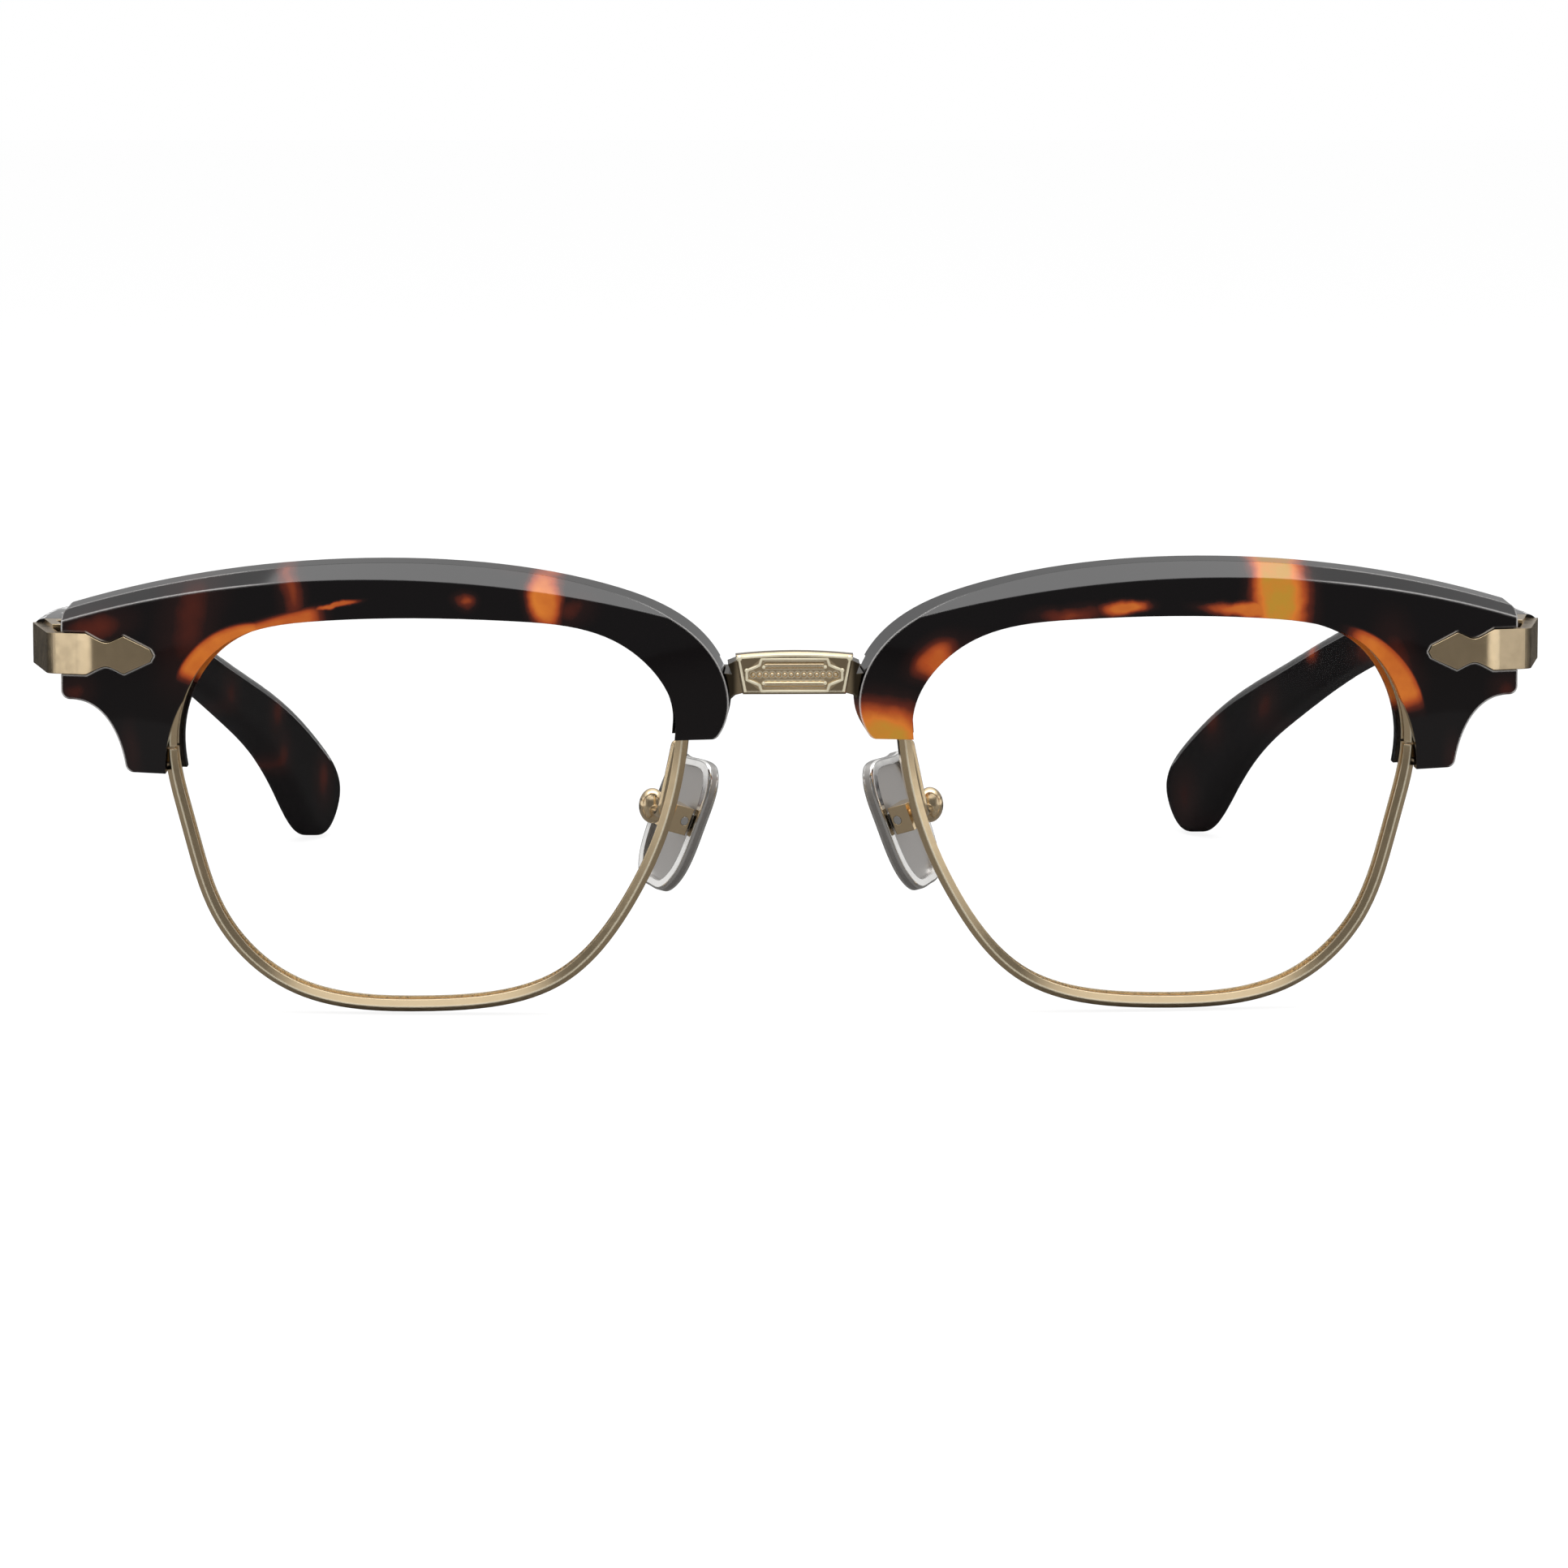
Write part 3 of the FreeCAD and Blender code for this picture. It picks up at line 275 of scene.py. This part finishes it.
# tortoiseshell acetate: light patches in a near-black ground
# a patch: place and half sizes in mm, turn in degrees, strength
# a lip arc is a painted glow, where light comes through the thin inner edge: centre, outer radius, from
# and to degrees, strength, soft outer edge in mm, soft ends in degrees
tortoise = {
    "warps": [(160.0, 0.9), (900.0, 0.22)],  # noise scale, reach in mm
    "warpDetail": 3.0,
    "cloudScale": 420.0,
    "cloudDetail": 4.0,
    "cloud": (0.94, 1.03),
    "edge": 0.16,  # mm, soft edge of the polished solid
    "roughness": 0.05,
    "ior": 1.5,
    "clearStrength": 0.7,  # weaker patches lie deep and blur
    "clearEdge": (1.35, 0.35),  # where a patch begins and is full, in half sizes
    "deepEdge": (1.7, 0.0),
    "lipCore": 0.7,  # mm inside the outer radius, where a lip is brightest
    "lipRim": 0.8,  # share of that brightness at the radius
    "paintedEdgeHighlight": {  # painted highlight: a bright line on the outer edges that face sideways, up and to the front
        "color": (0.72, 0.70, 0.69),
        "strength": 0.85,
        "reach": 0.3,  # mm
        "bend": (0.9995, 0.985),  # how far the edge turns from the face
        "nasal": (20.0, 13.0),  # mm from the middle
        "nasalFacing": (-0.15, -0.45),
        "outer": (46.0, 54.0),
        "outerFacing": (0.25, 0.5),
        "frontFacing": (-0.1, -0.5),
    },
    "browPatches": [
        (-47.7, 41.2, 1.3, 5.0, 8, 0.52),
        (-57.0, 38.0, 2.6, 6.5, -12, 0.34),
        (-66.2, 37.0, 3.6, 1.5, 12, 0.40),
        (-43.2, 39.4, 2.6, 0.42, 7, 0.76),
        (-31.2, 39.5, 1.1, 0.75, 0, 0.56),
        (-23.3, 40.0, 2.1, 3.4, 3, 0.86),
        (-20.8, 39.2, 2.0, 1.5, 0, 0.34),
        (-23.0, 43.6, 5.4, 1.5, -10, 0.50),
        (-68.2, 30.9, 1.8, 1.6, 0, 0.30),
        (-62.9, 25.2, 0.9, 2.4, 0, 0.22),
        (7.6, 25.6, 7.0, 5.0, 0, 1.0),
        (15.0, 33.9, 2.6, 2.0, 45, 0.34),
        (26.1, 38.5, 3.6, 0.8, 6, 0.50),
        (31.2, 39.0, 2.9, 0.85, 2, 0.82),
        (46.0, 41.0, 3.4, 9.0, 3, 1.0),
        (43.2, 38.7, 5.2, 0.95, -3, 0.80),
        (57.6, 33.4, 2.0, 4.0, 14, 0.36),
        (68.5, 30.4, 1.7, 1.5, 0, 0.30),
        (63.2, 23.9, 0.9, 2.2, 0, 0.26),
    ],
    # painted glow along the thin inner edge
    "lipGlowArcs": [
        (-50.7, 29.3, 8.4, 84, 158, 0.84, 0.3, 9),
        (-36.6, -2.2, 42.4, 101, 113, 0.76, 0.4, 2.0),
        (15.9, 30.75, 5.9, 98, 156, 0.72, 1.2, 20),
        (50.2, 27.1, 10.3, 12, 74, 0.82, 0.2, 9),
    ],
    "leftTemple": [  # placed along y and z
        (-44.0, 35.2, 4.4, 2.6, 20, 0.52),
        (-27.0, 32.4, 5.0, 2.0, -12, 0.40),
        (-8.0, 31.2, 3.4, 3.2, 25, 0.48),
        (12.0, 27.0, 5.2, 2.0, -20, 0.36),
        (30.0, 24.7, 2.6, 1.6, 0, 0.62),
        (44.0, 17.0, 4.0, 2.2, -30, 0.30),
        (59.0, 14.0, 3.0, 3.0, 0, 0.32),
        (66.0, 4.0, 3.0, 3.4, 20, 0.26),
    ],
    "rightTemple": [
        (-40.0, 33.0, 5.0, 2.2, -18, 0.50),
        (-20.0, 33.6, 3.6, 2.4, 16, 0.44),
        (-2.0, 29.4, 4.6, 2.2, -15, 0.40),
        (18.0, 27.6, 3.4, 2.4, 10, 0.34),
        (36.0, 20.0, 3.0, 2.6, -20, 0.28),
        (52.0, 15.8, 2.6, 2.4, 0, 0.32),
        (54.0, 11.0, 2.4, 2.6, 20, 0.32),
        (66.0, 6.7, 2.6, 3.0, 0, 0.32),
    ],
    "ramp": [
        (0.0, (0.0035, 0.0025, 0.0028)),
        (0.22, (0.014, 0.0050, 0.0045)),
        (0.45, (0.11, 0.017, 0.008)),
        (0.68, (0.44, 0.075, 0.016)),
        (0.88, (0.70, 0.20, 0.028)),
        (1.0, (0.52, 0.27, 0.030)),
    ],
}


def warpedPlace(tree, place):
    warped = place
    for scale, reach in tortoise["warps"]:
        noise = noiseNode(tree, place, scale, tortoise["warpDetail"])
        centred = vectorNode(tree, "SUBTRACT", noise["Color"], (0.5, 0.5, 0.5))
        moved = vectorNode(tree, "MULTIPLY", centred, (2 * reach * mm,) * 3)
        warped = vectorNode(tree, "ADD", warped, moved)
    return warped


def patchNode(tree, place, patch, alongY):
    across, height, wide, tall, turn, strength = patch
    spot = addNode(tree, "Mapping", vector_type="TEXTURE")
    tree.links.new(place, spot.inputs["Vector"])
    if alongY:
        spot.inputs["Location"].default_value = (0, across * mm, height * mm)
        spot.inputs["Rotation"].default_value = (math.radians(turn), 0, 0)
        spot.inputs["Scale"].default_value = (1.0, wide * mm, tall * mm)
        plane = (0.0, 1.0, 1.0)
    else:
        spot.inputs["Location"].default_value = (across * mm, 0, height * mm)
        spot.inputs["Rotation"].default_value = (0, -math.radians(turn), 0)
        spot.inputs["Scale"].default_value = (wide * mm, 1.0, tall * mm)
        plane = (1.0, 0.0, 1.0)
    flat = vectorNode(tree, "MULTIPLY", spot.outputs["Vector"], plane)
    clear = strength > tortoise["clearStrength"]
    edge, core = tortoise["clearEdge" if clear else "deepEdge"]
    return rangeNode(tree, vectorNode(tree, "LENGTH", flat), edge, core, 0.0, strength)


# painted glow along one arc of the brow's thin inner edge
def lipGlowNode(tree, place, arc):
    x, z, radius, first, last, strength, soft, ends = arc
    offset = vectorNode(tree, "SUBTRACT", place, (x * mm, 0.0, z * mm))
    flat = vectorNode(tree, "MULTIPLY", offset, (1.0, 0.0, 1.0))
    reach = vectorNode(tree, "LENGTH", flat)
    split = splitNode(tree, flat)
    angle = mathNode(tree, "ARCTAN2", split["Z"], split["X"])
    rises = rangeNode(tree, angle, math.radians(first - ends), math.radians(first + ends))
    falls = rangeNode(tree, angle, math.radians(last + ends), math.radians(last - ends))
    inside = rangeNode(tree, reach, (radius + soft) * mm, (radius - soft) * mm)
    core = (radius - tortoise["lipCore"]) * mm
    bright = rangeNode(tree, reach, radius * mm, core, tortoise["lipRim"] * strength, strength)
    span = mathNode(tree, "MULTIPLY", rises, falls)
    return mathNode(tree, "MULTIPLY", mathNode(tree, "MULTIPLY", span, inside), bright)


# painted highlight on the brow's edges, masked by how far the edge turns, where it lies and which way it
# faces
def paintedEdgeHighlightNode(tree, place):
    paintedEdgeHighlight = tortoise["paintedEdgeHighlight"]
    normal = softEdges(tree, paintedEdgeHighlight["reach"])
    bend = edgeBend(tree, normal, paintedEdgeHighlight["bend"])
    where = splitNode(tree, place)
    facing = splitNode(tree, normal)
    aside = mathNode(tree, "ABSOLUTE", where["X"])
    outward = mathNode(tree, "MULTIPLY", facing["X"], mathNode(tree, "SIGN", where["X"]))
    near, far = paintedEdgeHighlight["nasal"], paintedEdgeHighlight["outer"]
    nasal = mathNode(tree, "MULTIPLY", rangeNode(tree, aside, near[0] * mm, near[1] * mm),
                     rangeNode(tree, outward, *paintedEdgeHighlight["nasalFacing"]))
    turned = mathNode(tree, "MAXIMUM", outward, facing["Z"])
    outer = mathNode(tree, "MULTIPLY", rangeNode(tree, aside, far[0] * mm, far[1] * mm),
                     rangeNode(tree, turned, *paintedEdgeHighlight["outerFacing"]))
    front = rangeNode(tree, facing["Y"], *paintedEdgeHighlight["frontFacing"], 0.0, paintedEdgeHighlight["strength"])
    sides = mathNode(tree, "MULTIPLY", mathNode(tree, "MAXIMUM", nasal, outer), front)
    return mathNode(tree, "MULTIPLY", bend, sides)


def tortoiseMaterial(name, patches, arcs=(), alongY=False):
    material, tree, output = newMaterial(name)
    shader = addNode(tree, "BsdfPrincipled")
    place = addNode(tree, "TexCoord").outputs["Object"]
    warped = warpedPlace(tree, place)
    spots = [patchNode(tree, warped, patch, alongY) for patch in patches]
    spots += [lipGlowNode(tree, place, arc) for arc in arcs]
    light = spots[0]
    for spot in spots[1:]:
        light = mathNode(tree, "MAXIMUM", light, spot)
    noise = noiseNode(tree, place, tortoise["cloudScale"], tortoise["cloudDetail"])
    cloud = rangeNode(tree, noise["Fac"], *noiseSpan, *tortoise["cloud"])
    ramp = addNode(tree, "ValToRGB")
    while len(ramp.color_ramp.elements) < len(tortoise["ramp"]):
        ramp.color_ramp.elements.new(0.5)
    for element, (position, color) in zip(ramp.color_ramp.elements, tortoise["ramp"]):
        element.position = position
        element.color = color + (1,)
    tree.links.new(mathNode(tree, "MULTIPLY", light, cloud), ramp.inputs[0])
    base = ramp.outputs[0]
    if not alongY:
        # painted edge highlight mixed into the brow's colour
        base = mixNode(tree, paintedEdgeHighlightNode(tree, place), base, tortoise["paintedEdgeHighlight"]["color"])
    tree.links.new(base, shader.inputs["Base Color"])
    shader.inputs["Roughness"].default_value = tortoise["roughness"]
    shader.inputs["IOR"].default_value = tortoise["ior"]
    tree.links.new(softEdges(tree, tortoise["edge"]), shader.inputs["Normal"])
    tree.links.new(shader.outputs[0], output.inputs["Surface"])
    return material


# plated and bare metals
metals = {
    "champagneGold": {"color": (0.84, 0.66, 0.42), "roughness": (0.16, 0.21), "edge": 0.10},
    "polishedGold": {
        "color": (0.96, 0.88, 0.66), "roughness": (0.08, 0.12), "edge": 0.04, "metallic": 0.35,
    },
    "brightSteel": {"color": (0.74, 0.73, 0.71), "roughness": (0.12, 0.18), "edge": 0.06},
    "satinTitanium": {"color": (0.78, 0.77, 0.75), "roughness": (0.10, 0.16), "edge": 0.10},
    "wear": {"scale": 900.0, "detail": 4.0},  # changes of roughness
    "mottle": {"scale": 140.0, "detail": 5.0, "shade": 0.93},  # changes of tone
    "grain": {  # fine beading on the lower outer slope of the rims
        "size": 0.30,  # mm
        "top": (13.0, 7.8),  # mm
        "slope": (0.05, -0.25),
        "depth": 0.05,  # mm
    },
    "ridge": {  # painted highlight: pale, less metallic lines along the ridges on the front of the rims and the bridge
        "color": (0.92, 0.83, 0.63),
        "reach": 0.3,  # mm
        "bend": (0.999, 0.972),
        "facing": (-0.82, -0.92),
        "metallic": 0.35,
    },
    "tray": {  # brushed tray of the nose pads
        "centre": (11.45, -58.7, 17.3),  # mm, on the left pad's border face
        "normal": (-0.788, 0.545, -0.287),
        "start": (0.28, 0.42),  # mm deep
        "end": (1.008, 0.84),  # mm deep
        "color": (0.50, 0.485, 0.47),
        "roughness": 0.42,
    },
    "strapBend": {  # soft turn of the endpieces towards the hinge
        "reach": (65.8, 68.0),  # mm from the middle
        "tilt": 0.84,
        "inner": (-0.5, -0.1),  # inner faces keep their own direction
    },
    "ground": {  # plaque outside its cartouche
        "corner": (3.2, 0.45),  # mm across and up or down, where the cartouche's corner cut begins
        "reach": (1.3, 1.1),  # mm, its size
        "edge": (0.95, 1.05),
        "shade": 0.58,
    },
    "flank": {"start": (5.2, 5.8), "shade": 0.16},  # the bridge's flanks darkened with painted shade, mm from the middle
}


def beadNormal(tree, coords, normal):
    grain = metals["grain"]
    cells = addNode(tree, "TexVoronoi")
    cells.inputs["Scale"].default_value = 1 / (grain["size"] * mm)
    tree.links.new(coords["Object"], cells.inputs["Vector"])
    first, last = grain["top"]
    below = rangeNode(tree, splitNode(tree, coords["Object"])["Z"], first * mm, last * mm)
    under = rangeNode(tree, splitNode(tree, coords["Normal"])["Z"], *grain["slope"])
    bump = addNode(tree, "Bump", invert=True)
    bump.inputs["Distance"].default_value = grain["depth"] * mm
    tree.links.new(mathNode(tree, "MULTIPLY", below, under), bump.inputs["Strength"])
    tree.links.new(cells.outputs["Distance"], bump.inputs["Height"])
    tree.links.new(normal, bump.inputs["Normal"])
    return bump.outputs["Normal"]


def bendNormal(tree, place, normal):
    strapBend = metals["strapBend"]
    across = splitNode(tree, place)["X"]
    side = mathNode(tree, "SIGN", across)
    first, last = strapBend["reach"]
    aside = mathNode(tree, "ABSOLUTE", across)
    turn = rangeNode(tree, aside, first * mm, last * mm, 0.0, strapBend["tilt"])
    facing = mathNode(tree, "MULTIPLY", splitNode(tree, normal)["X"], side)
    turn = mathNode(tree, "MULTIPLY", turn, rangeNode(tree, facing, *strapBend["inner"]))
    outward = addNode(tree, "CombineXYZ")
    tree.links.new(mathNode(tree, "MULTIPLY", turn, side), outward.inputs["X"])
    return vectorNode(tree, "NORMALIZE", vectorNode(tree, "ADD", normal, outward.outputs[0]))


# painted highlight mask on the front-facing ridges
def ridgeNode(tree):
    ridge = metals["ridge"]
    rounded = softEdges(tree, ridge["reach"])
    ahead = rangeNode(tree, splitNode(tree, rounded)["Y"], *ridge["facing"])
    return mathNode(tree, "MULTIPLY", edgeBend(tree, rounded, ridge["bend"]), ahead)


def groundNode(tree, place):
    ground = metals["ground"]
    split = splitNode(tree, vectorNode(tree, "SUBTRACT", place, (0.0, 0.0, plaque["level"][1] * mm)))
    past = []
    for axis, corner, reach in zip("XZ", ground["corner"], ground["reach"]):
        aside = mathNode(tree, "SUBTRACT", mathNode(tree, "ABSOLUTE", split[axis]), corner * mm)
        past.append(mathNode(tree, "DIVIDE", mathNode(tree, "MAXIMUM", aside, 0.0), reach * mm))
    return rangeNode(tree, mathNode(tree, "ADD", *past), *ground["edge"], 1.0, ground["shade"])


# painted shade on the bridge's flanks, darker away from the middle
def flankNode(tree, place):
    flank = metals["flank"]
    first, last = flank["start"]
    aside = mathNode(tree, "ABSOLUTE", splitNode(tree, place)["X"])
    return rangeNode(tree, aside, first * mm, last * mm, 1.0, flank["shade"])


def trayNode(tree, place):
    tray = metals["tray"]
    split = splitNode(tree, place)
    folded = addNode(tree, "CombineXYZ")
    tree.links.new(mathNode(tree, "ABSOLUTE", split["X"]), folded.inputs["X"])
    tree.links.new(split["Y"], folded.inputs["Y"])
    tree.links.new(split["Z"], folded.inputs["Z"])
    centre = tuple(part * mm for part in tray["centre"])
    offset = vectorNode(tree, "SUBTRACT", folded.outputs[0], centre)
    depth = vectorNode(tree, "DOT_PRODUCT", offset, tray["normal"])
    ends = [rangeNode(tree, depth, first * mm, last * mm) for first, last in (tray["start"], tray["end"])]
    return mathNode(tree, "MULTIPLY", *ends)


def metalMaterial(name, detail=""):
    finish, wear, mottle = metals[name], metals["wear"], metals["mottle"]
    material, tree, output = newMaterial(name + detail)
    shader = addNode(tree, "BsdfPrincipled")
    coords = addNode(tree, "TexCoord").outputs
    place = coords["Object"]
    speckle = noiseNode(tree, place, wear["scale"], wear["detail"])
    rough = rangeNode(tree, speckle["Fac"], *noiseSpan, *finish["roughness"])
    tone = addNode(tree, "ValToRGB")
    darker = tuple(mottle["shade"] * part for part in finish["color"])
    for element, color in zip(tone.color_ramp.elements, (darker, finish["color"])):
        element.color = color + (1,)
    tree.links.new(noiseNode(tree, place, mottle["scale"], mottle["detail"])["Fac"], tone.inputs[0])
    base = tone.outputs[0]
    shader.inputs["Metallic"].default_value = finish.get("metallic", 1.0)
    normal = softEdges(tree, finish["edge"])
    if detail == "Bent":
        normal = bendNormal(tree, place, normal)
    if detail == "Beaded":
        normal = beadNormal(tree, coords, normal)
    if detail == "Flanked":
        base = scaleNode(tree, base, groundNode(tree, place))
    # painted highlight on the ridges, paler and less metallic
    if detail in ("Beaded", "Flanked"):
        ridge = metals["ridge"]
        crestHighlight = ridgeNode(tree)
        base = mixNode(tree, crestHighlight, base, ridge["color"])
        plated = rangeNode(tree, crestHighlight, 0.0, 1.0, 1.0, ridge["metallic"])
        tree.links.new(plated, shader.inputs["Metallic"])
    # painted shade darkens the bridge's flanks
    if detail == "Flanked":
        base = scaleNode(tree, base, flankNode(tree, place))
    if name == "satinTitanium":
        tray = trayNode(tree, place)
        base = mixNode(tree, tray, base, metals["tray"]["color"])
        dull = mathNode(tree, "MULTIPLY", tray, metals["tray"]["roughness"])
        rough = mathNode(tree, "MAXIMUM", rough, dull)
    tree.links.new(base, shader.inputs["Base Color"])
    tree.links.new(rough, shader.inputs["Roughness"])
    tree.links.new(normal, shader.inputs["Normal"])
    tree.links.new(shader.outputs[0], output.inputs["Surface"])
    return material


clearLens = {"color": (0.6, 0.61, 0.61), "roughness": 0.02, "blend": 0.2, "face": 0.004, "grazing": 0.3}


def lensMaterial():
    material, tree, output = newMaterial("clearLens")
    shader = addNode(tree, "BsdfPrincipled")
    shader.inputs["Base Color"].default_value = clearLens["color"] + (1,)
    shader.inputs["Roughness"].default_value = clearLens["roughness"]
    weight = addNode(tree, "LayerWeight")
    weight.inputs["Blend"].default_value = clearLens["blend"]
    alpha = rangeNode(tree, weight.outputs["Fresnel"], 0.0, 1.0, clearLens["face"], clearLens["grazing"])
    tree.links.new(alpha, shader.inputs["Alpha"])
    tree.links.new(shader.outputs[0], output.inputs["Surface"])
    return material


# raised trim on the bridge plaque, points in mm across and up its face
plaque = {
    "level": (-71.897, 32.8),  # y and z of the face at its middle
    "tilt": 4.5,  # degrees
    "lineRadius": 0.14,
    "lineRounds": 3,
    "borderHalf": [
        (3.1, 1.525), (3.3, 0.95), (3.7, 0.76), (4.1, 0.6), (4.5, 0.45),
        (4.5, -0.45), (4.1, -0.6), (3.7, -0.76), (3.3, -0.95), (3.1, -1.525),
    ],
    "edgeHalf": [(4.64, -1.6), (5.24, 1.64), (3.94, 1.76), (2.63, 1.845), (1.31, 1.895), (0.0, 1.91)],
    "studs": [  # across, up, radius
        (5.2, 1.6, 0.26), (4.5, 0.45, 0.21), (2.9, 0.78, 0.16), (2.9, -0.78, 0.16),
    ],
    "studSides": (20, 12),  # segments and rings of the dome's sphere
    "studShape": {"seat": 0.3, "foot": 1.18, "footDepth": 1.9, "flat": 0.85},  # shares of the radius
}


def onPlaque(across, height):
    y, z = plaque["level"]
    lean = math.radians(plaque["tilt"])
    return across * mm, (y - height * math.sin(lean)) * mm, (z + height * math.cos(lean)) * mm


def goldTrim(piece, name):
    piece.name = piece.data.name = name
    piece.data.materials.clear()
    piece.data.materials.append(finishes["trim"])
    bpy.ops.object.shade_smooth()
    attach(piece, "front")


def raisedLine(name, points, closed):
    bpy.ops.object.select_all(action="DESELECT")
    bpy.ops.curve.primitive_nurbs_path_add()
    line = bpy.context.object
    line.data.splines.clear()
    path = line.data.splines.new("POLY")
    path.points.add(len(points) - 1)
    for spot, (across, height) in zip(path.points, points):
        spot.co = onPlaque(across, height) + (1.0,)
    path.use_cyclic_u = closed
    line.data.bevel_depth = plaque["lineRadius"] * mm
    line.data.bevel_resolution = plaque["lineRounds"]
    line.data.use_fill_caps = True
    bpy.ops.object.convert(target="MESH")
    goldTrim(bpy.context.object, name)


# a dome of 1 mm radius, cut flat at its seat, on a wider foot
def studMaster():
    shape = plaque["studShape"]
    segments, rings = plaque["studSides"]
    bpy.ops.object.select_all(action="DESELECT")
    bpy.ops.mesh.primitive_uv_sphere_add(segments=segments, ring_count=rings, radius=mm)
    master = bpy.context.object
    bpy.ops.object.mode_set(mode="EDIT")
    bpy.ops.mesh.select_all(action="SELECT")
    bpy.ops.transform.rotate(value=math.radians(90), orient_axis="X")
    bpy.ops.mesh.bisect(plane_co=(0, shape["seat"] * mm, 0), plane_no=(0, 1, 0),
                        clear_outer=True, use_fill=True)
    bpy.ops.mesh.extrude_region_move()
    bpy.ops.transform.resize(value=(shape["foot"], 1, shape["foot"]))
    bpy.ops.mesh.extrude_region_move(TRANSFORM_OT_translate={"value": (0, shape["footDepth"] * mm, 0)})
    bpy.ops.mesh.select_all(action="SELECT")
    bpy.ops.transform.resize(value=(1, shape["flat"], 1))
    bpy.ops.mesh.normals_make_consistent(inside=False)
    bpy.ops.object.mode_set(mode="OBJECT")
    return master


def placeStud(master, name, across, height, radius):
    bpy.ops.object.select_all(action="DESELECT")
    master.select_set(True)
    bpy.context.view_layer.objects.active = master
    bpy.ops.object.duplicate(linked=False)
    stud = bpy.context.object
    stud.scale = (radius,) * 3
    stud.location = onPlaque(across, height)
    bpy.ops.object.transform_apply(location=True, rotation=True, scale=True)
    goldTrim(stud, name)


# finishes by node, or else by slot
finishes = {
    "champagne_gold": metalMaterial("champagneGold"),
    "steel": metalMaterial("brightSteel"),
    "satin_titanium": metalMaterial("satinTitanium"),
    "clear_lens": lensMaterial(),
    "bridge": metalMaterial("champagneGold", "Flanked"),
    "trim": metalMaterial("polishedGold"),
    "left_temple": tortoiseMaterial("tortoiseLeftTemple", tortoise["leftTemple"], alongY=True),
    "right_temple": tortoiseMaterial("tortoiseRightTemple", tortoise["rightTemple"], alongY=True),
}
brow = tortoiseMaterial("tortoiseBrow", tortoise["browPatches"], tortoise["lipGlowArcs"])
eyewire = metalMaterial("champagneGold", "Beaded")
endpiece = metalMaterial("champagneGold", "Bent")
for side in ("left", "right"):
    finishes[side + "_brow"] = brow
    finishes[side + "_eyewire"] = eyewire
    finishes[side + "_endpiece"] = endpiece
for entry in frame["record"]["subparts"]:
    node = nodes[entry["node"]]
    node.data.materials.clear()
    node.data.materials.append(finishes.get(entry["node"]) or finishes[entry["material_slot"]])
print("finishes set on", len(nodes), "nodes")

half = plaque["borderHalf"]
raisedLine("cartoucheBorder", half + [(-x, z) for x, z in reversed(half)], True)
half = plaque["edgeHalf"]
raisedLine("plaqueEdge", half + [(-x, z) for x, z in reversed(half[:-1])], False)
master = studMaster()
for number, (across, height, radius) in enumerate(plaque["studs"], 1):
    placeStud(master, "plaqueStudRight%d" % number, across, height, radius)
    placeStud(master, "plaqueStudLeft%d" % number, -across, height, radius)
bpy.data.objects.remove(master)
print("plaque trim set")
